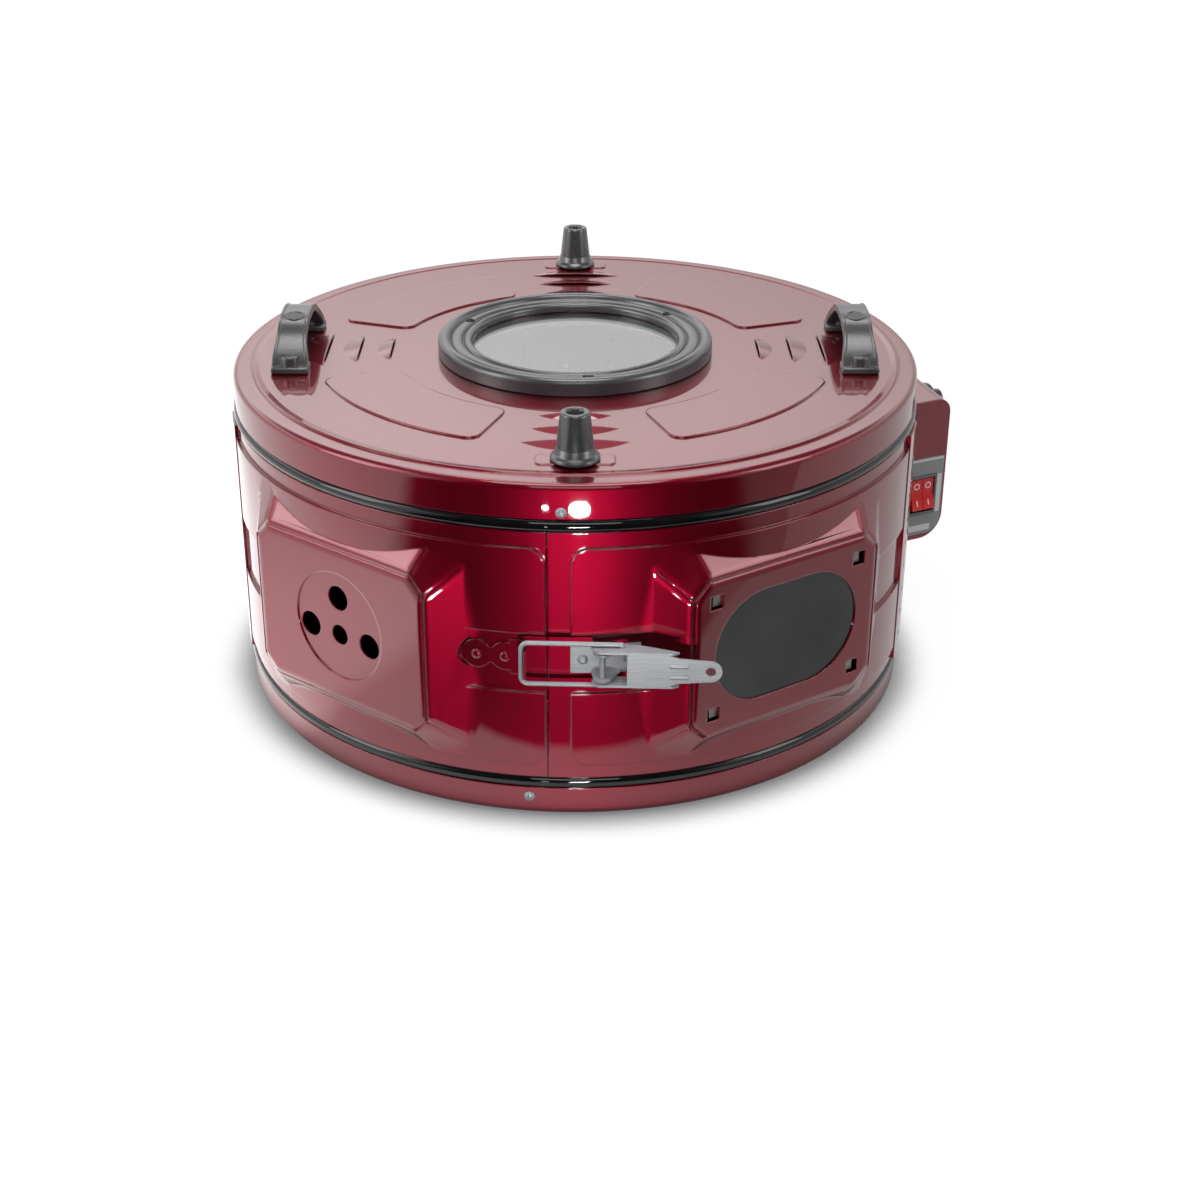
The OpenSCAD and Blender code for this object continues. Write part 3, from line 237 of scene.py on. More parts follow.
FINISHES: dict[Slot, Finish] = {
    Slot.RED_PAINT: Finish("candy_red_paint", (0.196, 0.0014, 0.0138), (0.176, 0.0012, 0.012), metallic=1.0,
                           rough=(0.42, 0.5), coat=1.0, scale=(900.0, 900.0, 14.0), edge=1.6 * MM),
    Slot.BLACK_ENAMEL: Finish("gloss_enamel", (0.008, 0.008, 0.01), (0.004, 0.004, 0.005), rough=(0.03, 0.06),
                              scale=(60.0, 60.0, 60.0), edge=0.6 * MM),
    Slot.BLACK_PLASTIC: Finish("black_satin_plastic", (0.056, 0.055, 0.058), (0.042, 0.041, 0.044), rough=(0.2, 0.3),
                               scale=(700.0, 700.0, 700.0), bump=0.06 * MM, edge=0.8 * MM, specular=1.0),
    Slot.ZINC: Finish("bright_zinc", (0.47, 0.483, 0.507), (0.34, 0.35, 0.368), metallic=0.2, rough=(0.3, 0.46),
                      scale=(60.0, 60.0, 2400.0), edge=0.4 * MM, specular=0.4, detail=2.0),
    Slot.ELEMENT_STEEL: Finish("tube_steel", (0.36, 0.35, 0.33), (0.2, 0.19, 0.18), metallic=1.0,
                               rough=(0.36, 0.55), scale=(220.0, 220.0, 220.0)),
    Slot.CERAMIC: Finish("white_ceramic", (0.8, 0.77, 0.7), (0.7, 0.66, 0.58), rough=(0.55, 0.7),
                         scale=(400.0, 400.0, 400.0), bump=0.04 * MM),
    # Dark glass whose cloudy mix of its two tints is a painted reflection.
    Slot.DARK_GLASS: Finish("tinted_glass_painted_reflection", (0.034, 0.036, 0.039), (0.006, 0.0065, 0.007), rough=(0.02, 0.05),
                            scale=(16.0, 16.0, 16.0), transmission=0.2, detail=2.0),
    Slot.CLEAR_GLASS: Finish("window_glass", (0.98, 0.985, 0.98), (0.96, 0.965, 0.96), rough=(0.0, 0.02),
                             scale=(20.0, 20.0, 20.0), transmission=1.0),
    Slot.GREY_PANEL: Finish("grey_foil", (0.26, 0.27, 0.28), (0.23, 0.24, 0.25), rough=(0.35, 0.45),
                            scale=(500.0, 500.0, 500.0)),
    Slot.RED_PLASTIC: Finish("red_switch_plastic", (0.62, 0.012, 0.016), (0.55, 0.01, 0.012), rough=(0.15, 0.25),
                             scale=(200.0, 200.0, 200.0), edge=0.4 * MM),
}
PALE_PRINT = Finish("pale_print", (0.66, 0.66, 0.65), (0.6, 0.6, 0.6), rough=(0.4, 0.5),
                    scale=(500.0, 500.0, 500.0))
WHITE_MARK = Finish("white_mark", (0.82, 0.82, 0.8), (0.76, 0.76, 0.74), rough=(0.4, 0.5),
                    scale=(500.0, 500.0, 500.0))


def deselect() -> None:
    """Leaves edit mode and deselects everything."""
    if bpy.context.object and bpy.context.object.mode != "OBJECT":
        bpy.ops.object.mode_set(mode="OBJECT")
    bpy.ops.object.select_all(action="DESELECT")


def make_active(obj: bpy.types.Object) -> None:
    """Selects one object alone and makes it the active one.

    Args:
        obj: the object.
    """
    deselect()
    obj.select_set(True)
    bpy.context.view_layer.objects.active = obj


class Pick(str, Enum):
    """Kinds of mesh element that edit mode selects."""

    VERTS = "VERT"
    EDGES = "EDGE"
    FACES = "FACE"


def edit(obj: bpy.types.Object, pick: Pick = Pick.VERTS) -> None:
    """Opens one object in edit mode with everything selected.

    Args:
        obj: the object.
        pick: kind of element to select.
    """
    make_active(obj)
    bpy.ops.object.mode_set(mode="EDIT")
    bpy.ops.mesh.select_mode(type=pick.value)
    bpy.ops.mesh.select_all(action="SELECT")


def leave() -> None:
    """Turns the faces outwards and leaves edit mode."""
    bpy.ops.mesh.select_all(action="SELECT")
    bpy.ops.mesh.normals_make_consistent(inside=False)
    bpy.ops.object.mode_set(mode="OBJECT")


def settle(obj: bpy.types.Object, angle: float = 35.0) -> None:
    """Puts an object's place into its mesh and shades it smooth up to an angle.

    Args:
        obj: the piece.
        angle: greatest angle between faces that still shades smooth, in degrees.
    """
    make_active(obj)
    bpy.ops.object.transform_apply(location=True, rotation=True, scale=True)
    bpy.ops.object.shade_smooth_by_angle(angle=math.radians(angle))


def dress(obj: bpy.types.Object, slot: Slot, body: Body, *nodes: str, finish: Finish | None = None) -> None:
    """Gives a piece its finish, its body and the solids that it stands for.

    Args:
        obj: the piece.
        slot: its material slot.
        body: group that it rides on.
        nodes: solids that it replaces.
        finish: finish to use in place of the slot's own.
    """
    obj.data.materials.clear()
    obj.data.materials.append((finish or FINISHES[slot]).material())
    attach(obj, body.value)
    if nodes:
        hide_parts(*nodes)
    LOG.info("%s rides on %s", obj.name, body.value)


def mesh_object(name: str, points: Sequence[Vector], edges: Sequence[tuple[int, int]]) -> bpy.types.Object:
    """Adds a wire outline as a new object.

    Args:
        name: name of the object.
        points: its points.
        edges: pairs of points.

    Returns:
        The object.
    """
    mesh = bpy.data.meshes.new(name)
    mesh.from_pydata([tuple(p) for p in points], list(edges), [])
    obj = bpy.data.objects.new(name, mesh)
    bpy.context.scene.collection.objects.link(obj)
    return obj


def revolve(name: str, outline: Sequence[tuple[float, float]], steps: int) -> bpy.types.Object:
    """Spins a closed outline of radius and height round the vertical axis.

    Args:
        name: name of the object.
        outline: points of radius and height in metres, in order.
        steps: faces round the axis.

    Returns:
        The object, round the origin.
    """
    points = [Vector((r, 0.0, z)) for r, z in outline]
    count = len(points)
    obj = mesh_object(name, points, [(i, (i + 1) % count) for i in range(count)])
    edit(obj)
    bpy.ops.mesh.spin(steps=steps, angle=math.tau, center=(0, 0, 0), axis=(0, 0, 1))
    bpy.ops.mesh.select_all(action="SELECT")
    bpy.ops.mesh.remove_doubles(threshold=WELD)
    bpy.ops.mesh.delete_loose()
    leave()
    return obj


def arc(centre: tuple[float, float], radius: float, start: float, end: float,
        count: int) -> list[tuple[float, float]]:
    """Returns: points on an arc, with angles in degrees."""
    turns = [math.radians(start + (end - start) * i / count) for i in range(count + 1)]
    return [(centre[0] + radius * math.cos(t), centre[1] + radius * math.sin(t)) for t in turns]


def cleaned(node: str) -> bpy.types.Object:
    """Copies a solid and makes its flat faces whole.

    Args:
        node: name of the solid.

    Returns:
        The copy.
    """
    obj = bpy.data.objects.new(node + "_softened", frame["nodes"][node].data.copy())
    bpy.context.scene.collection.objects.link(obj)
    make_active(obj)
    bpy.ops.mesh.customdata_custom_splitnormals_clear()
    bpy.ops.object.mode_set(mode="EDIT")
    bpy.ops.mesh.select_all(action="SELECT")
    bpy.ops.mesh.remove_doubles(threshold=COPY_WELD)
    bpy.ops.mesh.dissolve_limited(angle_limit=math.radians(FLAT_ANGLE))
    bpy.ops.object.mode_set(mode="OBJECT")
    return obj


def rounded(obj: bpy.types.Object, width: float, segments: int, weighted: bool = False) -> bpy.types.Object:
    """Rounds the edges of a piece.

    Args:
        obj: the piece.
        width: width of the rounded edges in metres.
        segments: faces across a rounded edge.
        weighted: whether to round the weighted edges only, and not every bend.

    Returns:
        The piece.
    """
    make_active(obj)
    bevel = obj.modifiers.new("edges", "BEVEL")
    bevel.width = width
    bevel.segments = segments
    bevel.limit_method = "WEIGHT" if weighted else "ANGLE"
    bevel.angle_limit = math.radians(BEND_ANGLE)
    bevel.use_clamp_overlap = not weighted
    bevel.miter_outer = "MITER_ARC"
    bpy.ops.object.modifier_apply(modifier=bevel.name)
    bpy.ops.object.shade_smooth_by_angle(angle=math.radians(SMOOTH_ANGLE))
    normals = obj.modifiers.new("normals", "WEIGHTED_NORMAL")
    normals.keep_sharp = True
    bpy.ops.object.modifier_apply(modifier=normals.name)
    return obj


class Sum(str, Enum):
    """Sums that a shader does on two sockets."""

    PRODUCT = "MULTIPLY"
    TOTAL = "ADD"
    GREATER = "MAXIMUM"


def reckon(tree: Tree, kind: Sum, a: Socket, b: Socket) -> Socket:
    """Does a sum on two sockets.

    Args:
        tree: node tree to add to.
        kind: the sum.
        a: first socket.
        b: second socket.

    Returns:
        The socket with the outcome.
    """
    node = tree.nodes.new("ShaderNodeMath")
    node.operation = kind.value
    tree.links.new(a, node.inputs[0])
    tree.links.new(b, node.inputs[1])
    return node.outputs[0]


def axes(tree: Tree, vector: Socket) -> bpy.types.NodeOutputs:
    """Takes a vector apart.

    Args:
        tree: node tree to add to.
        vector: socket with the vector.

    Returns:
        The sockets with its X, Y and Z.
    """
    parts = tree.nodes.new("ShaderNodeSeparateXYZ")
    tree.links.new(vector, parts.inputs["Vector"])
    return parts.outputs


@dataclass(frozen=True)
class Ramp:
    """A level that goes smoothly from one value to another.

    Args:
        span: where the change starts and ends.
        levels: level before the span and after it.
    """

    span: tuple[float, float]
    levels: tuple[float, float]

    def add(self, tree: Tree, value: Socket) -> Socket:
        """Adds the level for a value.

        Args:
            tree: node tree to add to.
            value: socket with the value.

        Returns:
            The socket with the level.
        """
        node = tree.nodes.new("ShaderNodeMapRange")
        node.interpolation_type = "SMOOTHSTEP"
        node.inputs["From Min"].default_value, node.inputs["From Max"].default_value = self.span
        node.inputs["To Min"].default_value, node.inputs["To Max"].default_value = self.levels
        tree.links.new(value, node.inputs["Value"])
        return node.outputs["Result"]

    def away(self, tree: Tree, place: Socket) -> Socket:
        """Adds the level for a place's distance from the origin.

        Args:
            tree: node tree to add to.
            place: socket with the place.

        Returns:
            The socket with the level.
        """
        length = tree.nodes.new("ShaderNodeVectorMath")
        length.operation = "LENGTH"
        tree.links.new(place, length.inputs[0])
        return self.add(tree, length.outputs["Value"])


@dataclass(frozen=True)
class Surround:
    """Mirrored level that is dark in front of the oven and bright at its sides and back.

    Args:
        dark: level in front.
        front: change from the front to the sides, over y and the size of x together.
        bright: level of the sides and the back, from left to right.
    """

    dark: float
    front: Ramp
    bright: Ramp

    def add(self, tree: Tree, vector: Socket) -> Socket:
        """Adds the level for a place or a direction.

        Args:
            tree: node tree to add to.
            vector: socket with the place or direction.

        Returns:
            The socket with the level.
        """
        parts = axes(tree, vector)
        out = tree.nodes.new("ShaderNodeMath")
        out.operation = "ABSOLUTE"
        tree.links.new(parts["X"], out.inputs[0])
        total = reckon(tree, Sum.TOTAL, parts["Y"], out.outputs[0])
        level = tree.nodes.new("ShaderNodeMath")
        level.operation = "MULTIPLY_ADD"
        level.inputs[2].default_value = self.dark
        tree.links.new(self.front.add(tree, total), level.inputs[0])
        tree.links.new(self.bright.add(tree, parts["X"]), level.inputs[1])
        return level.outputs[0]


class Reach(str, Enum):
    """Surfaces that a lamp lights."""

    ALL = "all"
    MATT = "matt"
    SHINY = "shiny"


@dataclass(frozen=True)
class SoftBox:
    """A lamp that faces the oven, rectangular, or elliptical where it lights shiny surfaces only.

    Args:
        name: name of the lamp.
        place: where it stands, in metres.
        size: width and height in metres.
        watts: power.
        reach: surfaces that it lights.
        aim: height on the oven's axis that it faces, in metres.
    """

    name: str
    place: tuple[float, float, float]
    size: tuple[float, float]
    watts: float
    reach: Reach = Reach.ALL
    aim: float = 0.15

    def build(self) -> None:
        """Adds the lamp."""
        data = bpy.data.lights.new(self.name, "AREA")
        data.shape = "ELLIPSE" if self.reach is Reach.SHINY else "RECTANGLE"
        data.size, data.size_y = self.size
        data.energy = self.watts
        lamp = bpy.data.objects.new(self.name, data)
        bpy.context.scene.collection.objects.link(lamp)
        lamp.location = self.place
        lamp.visible_diffuse = self.reach is not Reach.SHINY
        lamp.visible_glossy = self.reach is not Reach.MATT
        lamp.rotation_euler = (Vector((0, 0, self.aim)) - Vector(self.place)).to_track_quat("-Z", "Y").to_euler()


@dataclass
class Studio:
    """Floor, light and camera."""

    eye: Vector = field(default_factory=lambda: Vector((0.0, -1.3241, 0.7119)))
    target: Vector = field(default_factory=lambda: Vector((0.0, 0.0, 0.1085)))
    lens: float = 55.5
    sensor: float = 36.0
    shift: tuple[float, float] = (0.02075, -0.06875)
    farthest: float = 100.0
    floor_half: float = 12.0
    floor_z: float = -0.2 * MM
    floor_grey: float = 0.1
    floor_rough: float = 0.9
    floor_glow: Ramp = Ramp((0.7, 2.4), (0.92, 1.06))
    floor_mirror: Surround = Surround(0.02, Ramp((-0.04, 0.1), (0.0, 1.0)), Ramp((-0.15, 0.3), (1.85, 0.5)))
    floor_fade: Ramp = Ramp((0.45, 0.8), (1.0, 0.6))
    # Painted shadow in the floor's reflections, close round the oven's foot.
    painted_foot_shade: Ramp = Ramp((0.25, 0.277), (0.16, 1.0))
    # Painted shadow on the floor where the oven stands close over it: level by occlusion, its reach and samples.
    painted_shadow: Ramp = Ramp((0.45, 0.92), (0.22, 1.0))
    painted_shadow_reach: float = 0.042
    painted_shadow_samples: int = 12
    table_front: Ramp = Ramp((-0.353, -0.337), (0.0, 1.0))
    table_side: Ramp = Ramp((-0.15, 0.3), (1.2, 0.66))
    sky_mirror: Surround = Surround(0.04, Ramp((-0.25, 0.35), (0.0, 1.0)), Ramp((-0.15, 0.3), (2.05, 1.45)))
    sky_low: Ramp = Ramp((0.25, 0.4), (0.45, 1.0))
    sky_high: Ramp = Ramp((0.42, 0.62), (1.0, 0.1))
    ambient: float = 0.5
    lamps: tuple[SoftBox, ...] = (
        SoftBox("back_box", (0.0, 2.6, 1.5), (3.4, 1.6), 12.0, Reach.MATT),
        SoftBox("left_box", (-2.0, -0.6, 1.3), (0.9, 1.6), 14.0),
        SoftBox("top_box", (0.0, -0.4, 2.6), (1.4, 1.0), 24.0),
        SoftBox("right_box", (2.1, -0.9, 1.2), (0.8, 1.4), 10.0),
        SoftBox("front_box", (0.0, -2.3, 1.7), (1.2, 0.8), 9.0),
        SoftBox("lid_box", (0.0, 1.6, 2.4), (1.6, 0.6), 14.0, Reach.SHINY),
        SoftBox("glint_box", (0.015, -0.74, 0.02), (0.07, 0.026), 1.4, Reach.SHINY),
        SoftBox("spark_box", (-0.1, -0.74, 0.02), (0.022, 0.007), 0.06, Reach.SHINY),
    )

    def build(self) -> None:
        """Builds the whole studio."""
        bpy.context.scene.view_settings.view_transform = "Standard"
        self.place_camera()
        self.lay_floor()
        self.light_world()
        for lamp in self.lamps:
            lamp.build()

    def place_camera(self) -> None:
        """Puts the camera at the photograph's angle."""
        data = bpy.data.cameras.new("camera")
        data.lens = self.lens
        data.sensor_width = self.sensor
        data.shift_x, data.shift_y = self.shift
        data.clip_end = self.farthest
        camera = bpy.data.objects.new("camera", data)
        bpy.context.scene.collection.objects.link(camera)
        camera.location = self.eye
        camera.rotation_euler = (self.target - self.eye).to_track_quat("-Z", "Y").to_euler()
        bpy.context.scene.camera = camera

    def lay_floor(self) -> None:
        """Lays the pale floor, which shows white with a painted shadow where the oven stands close over it, and is
        dark in reflections of the front.
        """
        deselect()
        bpy.ops.mesh.primitive_plane_add(size=2 * self.floor_half, location=(0, 0, self.floor_z))
        floor = bpy.context.object
        floor.name = "floor"
        material = bpy.data.materials.new("pale_floor")
        material.use_nodes = True
        tree = material.node_tree
        shader = tree.nodes["Principled BSDF"]
        shader.inputs["Base Color"].default_value = (self.floor_grey, self.floor_grey, self.floor_grey, 1.0)
        shader.inputs["Roughness"].default_value = self.floor_rough
        shader.inputs["Specular IOR Level"].default_value = 0.0
        shader.inputs["Emission Color"].default_value = (1.0, 1.0, 1.0, 1.0)
        rays = tree.nodes.new("ShaderNodeLightPath")
        place = tree.nodes.new("ShaderNodeTexCoord").outputs["Object"]
        # The floor's white emission for the eye, with the painted shadow close under the oven.
        glow_with_painted_shadow = reckon(tree, Sum.PRODUCT, self.painted_contact_shadow(tree), self.floor_glow.away(tree, place))
        seen = reckon(tree, Sum.PRODUCT, glow_with_painted_shadow, rays.outputs["Is Camera Ray"])
        tree.links.new(seen, shader.inputs["Emission Strength"])
        mirrored = tree.nodes.new("ShaderNodeEmission")
        tree.links.new(self.ground(tree, place), mirrored.inputs["Strength"])
        mix = tree.nodes.new("ShaderNodeMixShader")
        tree.links.new(rays.outputs["Is Glossy Ray"], mix.inputs["Fac"])
        tree.links.new(shader.outputs["BSDF"], mix.inputs[1])
        tree.links.new(mirrored.outputs["Emission"], mix.inputs[2])
        tree.links.new(mix.outputs["Shader"], tree.nodes["Material Output"].inputs["Surface"])
        floor.data.materials.append(material)

    def painted_contact_shadow(self, tree: Tree) -> Socket:
        """Adds a painted shadow, a level that falls off where the oven stands close over the floor.

        Args:
            tree: node tree to add to.

        Returns:
            The socket with the level.
        """
        near = tree.nodes.new("ShaderNodeAmbientOcclusion")
        near.samples = self.painted_shadow_samples
        near.inputs["Distance"].default_value = self.painted_shadow_reach
        return self.painted_shadow.add(tree, near.outputs["AO"])

    def ground(self, tree: Tree, place: Socket) -> Socket:
        """Adds the floor's mirrored level, of the room's floor and of the table under the oven, with a painted shadow
        close round the oven's foot.

        Args:
            tree: node tree to add to.
            place: socket with the place on the floor.

        Returns:
            The socket with the level.
        """
        room = reckon(tree, Sum.PRODUCT, self.floor_mirror.add(tree, place), self.floor_fade.away(tree, place))
        parts = axes(tree, place)
        edge, side = self.table_front.add(tree, parts["Y"]), self.table_side.add(tree, parts["X"])
        level = reckon(tree, Sum.GREATER, room, reckon(tree, Sum.PRODUCT, edge, side))
        return reckon(tree, Sum.PRODUCT, level, self.painted_foot_shade.away(tree, place))

    def sky(self, tree: Tree, direction: Socket) -> Socket:
        """Adds the mirrored level of the room, darker in front, overhead and near the horizon.

        Args:
            tree: node tree to add to.
            direction: socket with the direction.

        Returns:
            The socket with the level.
        """
        height = axes(tree, direction)["Z"]
        band = reckon(tree, Sum.PRODUCT, self.sky_low.add(tree, height), self.sky_high.add(tree, height))
        return reckon(tree, Sum.PRODUCT, self.sky_mirror.add(tree, direction), band)

    def light_world(self) -> None:
        """Makes the surroundings white to the eye, dark in front in reflections, and soft as light."""
        world = bpy.data.worlds.new("white_room")
        bpy.context.scene.world = world
        world.use_nodes = True
        tree = world.node_tree
        background = tree.nodes["Background"]
        background.inputs["Color"].default_value = (1.0, 1.0, 1.0, 1.0)
        rays = tree.nodes.new("ShaderNodeLightPath")
        place = tree.nodes.new("ShaderNodeTexCoord")
        strength: Socket | float = self.ambient
        levels = {
            "Is Glossy Ray": self.sky(tree, place.outputs["Generated"]),
            "Is Transmission Ray": 1.0,
            "Is Camera Ray": 1.0,
        }
        for name, level in levels.items():
            mix = tree.nodes.new("ShaderNodeMix")
            mix.data_type = "FLOAT"
            tree.links.new(rays.outputs[name], mix.inputs["Factor"])
            for socket, value in ((mix.inputs["A"], strength), (mix.inputs["B"], level)):
                if isinstance(value, float):
                    socket.default_value = value
                else:
                    tree.links.new(value, socket)
            strength = mix.outputs["Result"]
        tree.links.new(strength, background.inputs["Strength"])


@dataclass
class Solids:
    """The solids that keep their own shape and get a finish."""

    def dress_all(self) -> None:
        """Gives every solid the finish of its slot."""
        for row in frame["record"]["subparts"]:
            obj = frame["nodes"][row["node"]]
            obj.data.materials.clear()
            obj.data.materials.append(FINISHES[Slot(row["material_slot"])].material())


class Join(str, Enum):
    """Ways to join two closed pieces."""

    ADD = "UNION"
    CUT = "DIFFERENCE"


def join(base: bpy.types.Object, part: bpy.types.Object, way: Join) -> None:
    """Adds a closed piece to another, or cuts it out, and removes it.

    Args:
        base: the piece that stays.
        part: the piece that is used up.
        way: how they are joined.
    """
    make_active(base)
    step = base.modifiers.new("join", "BOOLEAN")
    step.operation = way.value
    step.solver = "EXACT"
    step.object = part
    bpy.ops.object.modifier_apply(modifier=step.name)
    bpy.data.objects.remove(part)


def block(name: str, size: tuple[float, float, float], centre: tuple[float, float, float],
          edge: float = 0.0, segments: int = 2) -> bpy.types.Object:
    """Adds a box with rounded edges.

    Args:
        name: name of the object.
        size: its three sizes in metres.
        centre: its middle in metres.
        edge: radius of its edges in metres.
        segments: faces across an edge.

    Returns:
        The object, with its place in its mesh.
    """
    deselect()
    bpy.ops.mesh.primitive_cube_add(size=1.0, location=centre)
    obj = bpy.context.object
    obj.name = name
    obj.scale = size
    bpy.ops.object.transform_apply(location=True, rotation=True, scale=True)
    if edge:
        edit(obj, Pick.EDGES)
        bpy.ops.mesh.bevel(offset=edge, segments=segments, affect="EDGES")
        leave()
    return obj


def post(name: str, radius: float, depth: float, centre: tuple[float, float, float], edge: float = 0.0,
         sides: int = 40) -> bpy.types.Object:
    """Adds an upright cylinder with rounded rims.

    Args:
        name: name of the object.
        radius: its radius in metres.
        depth: its height in metres.
        centre: its middle in metres.
        edge: radius of its rims in metres.
        sides: faces round it.

    Returns:
        The object, with its place in its mesh.
    """
    deselect()
    bpy.ops.mesh.primitive_cylinder_add(vertices=sides, radius=radius, depth=depth, location=centre)
    obj = bpy.context.object
    obj.name = name
    bpy.ops.object.transform_apply(location=True, rotation=True, scale=True)
    if edge:
        edit(obj, Pick.EDGES)
        bpy.ops.mesh.select_all(action="DESELECT")
        bpy.ops.object.mode_set(mode="OBJECT")
        for line in obj.data.edges:
            heights = [obj.data.vertices[i].co.z for i in line.vertices]
            line.select = abs(heights[0] - heights[1]) < depth / 100
        bpy.ops.object.mode_set(mode="EDIT")
        bpy.ops.mesh.bevel(offset=edge, segments=3, affect="EDGES")
        leave()
    return obj


def placed(obj: bpy.types.Object, matrix: Matrix) -> bpy.types.Object:
    """Moves a piece's mesh.

    Args:
        obj: the piece.
        matrix: the move.

    Returns:
        The piece.
    """
    obj.data.transform(matrix)
    obj.data.update()
    return obj


def millimetres(points: Iterable[tuple[float, float]]) -> list[tuple[float, float]]:
    """Returns: points given in millimetres, in metres."""
    return [(a * MM, b * MM) for a, b in points]


@dataclass
class PressedSheet:
    """Sheet-metal solids whose bends are rounded as a press leaves them.

    Args:
        bends: width and segments of the rounded edges, body and slot of each solid.
        boss_edge: width of the bosses' rounded edges, in metres.
        boss_segments: faces across such an edge.
        boss_face: smallest area of the faces beside such an edge, in square metres.
        boss_line: shortest such edge, in metres.
        boss_turns: smallest and greatest angle between those faces, in degrees.
        facing: least share of a face's direction that points away from the axis.
    """

    bends: dict[str, tuple[float, int, Body, Slot]] = field(default_factory=lambda: {
        "base_shell": (0.7 * MM, 2, Body.OVEN, Slot.RED_PAINT),
        "control_box": (1.4 * MM, 3, Body.OVEN, Slot.RED_PAINT),
        "catch_plate": (0.4 * MM, 2, Body.OVEN, Slot.RED_PAINT),
        "latch_bracket": (0.3 * MM, 2, Body.OVEN, Slot.ZINC),
        "latch_lever": (0.4 * MM, 2, Body.LEVER, Slot.ZINC),
        "hinge_band_leaf": (0.5 * MM, 2, Body.OVEN, Slot.ZINC),
        "hinge_lid_leaf": (0.5 * MM, 2, Body.LID, Slot.ZINC),
        "switch_bezel": (0.5 * MM, 2, Body.OVEN, Slot.BLACK_PLASTIC),
        "cable_gland": (0.8 * MM, 3, Body.OVEN, Slot.BLACK_PLASTIC),
        "rocker_left": (0.5 * MM, 3, Body.ROCKER_A, Slot.RED_PLASTIC),
        "rocker_right": (0.5 * MM, 3, Body.ROCKER_B, Slot.RED_PLASTIC),
    })
    boss_edge: float = 6.0 * MM
    boss_segments: int = 5
    boss_face: float = 2e-4
    boss_line: float = 8 * MM
    boss_turns: tuple[float, float] = (15.0, 75.0)
    facing: float = 0.3

    def build(self) -> None:
        """Rounds each solid and dresses it."""
        for node, (width, segments, body, slot) in self.bends.items():
            dress(rounded(cleaned(node), width, segments), slot, body, node)
        dress(self.ring("ring_band"), Slot.RED_PAINT, Body.OVEN, "ring_band")

    def ring(self, node: str) -> bpy.types.Object:
        """Copies the ring band and rounds the edges of its bosses.

        Args:
            node: name of the solid.

        Returns:
            The copy.
        """
        obj = cleaned(node)
        mesh = obj.data
        beside: dict[tuple[int, int], list[bpy.types.MeshPolygon]] = {}
        for face in mesh.polygons:
            for key in face.edge_keys:
                beside.setdefault(key, []).append(face)
        picked = [edge.index for edge in mesh.edges if self.is_boss_edge(mesh, edge, beside.get(edge.key, []))]
        weights = mesh.attributes.new("bevel_weight_edge", "FLOAT", "EDGE")
        for index in picked:
            weights.data[index].value = 1.0
        LOG.info("%d boss edges rounded", len(picked))
        return rounded(obj, self.boss_edge, self.boss_segments, weighted=True)

    def is_boss_edge(self, mesh: bpy.types.Mesh, edge: bpy.types.MeshEdge,
                     faces: Sequence[bpy.types.MeshPolygon]) -> bool:
        """Tells whether an edge lies outside between two large flat faces of a boss.

        Args:
            mesh: the ring band's mesh.
            edge: the edge.
            faces: the faces beside it.

        Returns:
            True for an edge of a boss.
        """
        if len(faces) != 2 or min(face.area for face in faces) < self.boss_face:
            return False
        a, b = (mesh.vertices[i].co for i in edge.vertices)
        middle = (a + b) / 2
        outwards = Vector((middle.x, middle.y, 0.0)).normalized()
        outside = min(face.normal.dot(outwards) for face in faces) > self.facing and middle.xy.length > DRUM_R - MM
        least, most = map(math.radians, self.boss_turns)
        turn = faces[0].normal.angle(faces[1].normal)
        convex = faces[0].normal.dot(faces[1].center - faces[0].center) < 0
        return convex and outside and (a - b).length > self.boss_line and least < turn < most


@dataclass
class LidRim:
    """Rolled rim and skirt of the lid, as one smooth skin over the sheet.

    Args:
        step: radii and heights from the lid's disc over the pressed step, in millimetres.
        bend: radius and height of the rolled edge's middle line.
        bend_r: outer and inner radius of the roll.
        foot: outer and inner point of the skirt's foot.
        inside: radii and heights of the skin's underside, back to the disc.
        steps: faces round the axis.
    """

    step: tuple[tuple[float, float], ...] = (
        (234.0, 248.36), (236.0, 248.42), (238.8, 248.46), (239.7, 248.45), (240.2, 248.3),
        (240.7, 247.85), (241.2, 247.4), (241.8, 247.16), (242.8, 247.07), (244.5, 247.06),
    )
    bend: tuple[float, float] = (251.0, 243.0)
    bend_r: tuple[float, float] = (4.06, 3.5)
    foot: tuple[tuple[float, float], ...] = ((255.06, 222.66), (254.5, 222.66))
    inside: tuple[tuple[float, float], ...] = ((243.0, 246.5), (241.2, 246.6), (239.8, 247.9), (234.0, 247.9))
    steps: int = 192

    def build(self) -> None:
        """Spins the skin from the edge of the lid's disc down to the foot of its skirt."""
        outer = arc(self.bend, self.bend_r[0], 90, 0, 12)
        inner = arc(self.bend, self.bend_r[1], 0, 90, 8)
        outline = [*self.step, *outer, *self.foot, *inner, *self.inside]
        rim = revolve("lid_rim_skin", millimetres(outline), self.steps)
        settle(rim, 50)
        dress(rim, Slot.RED_PAINT, Body.LID)


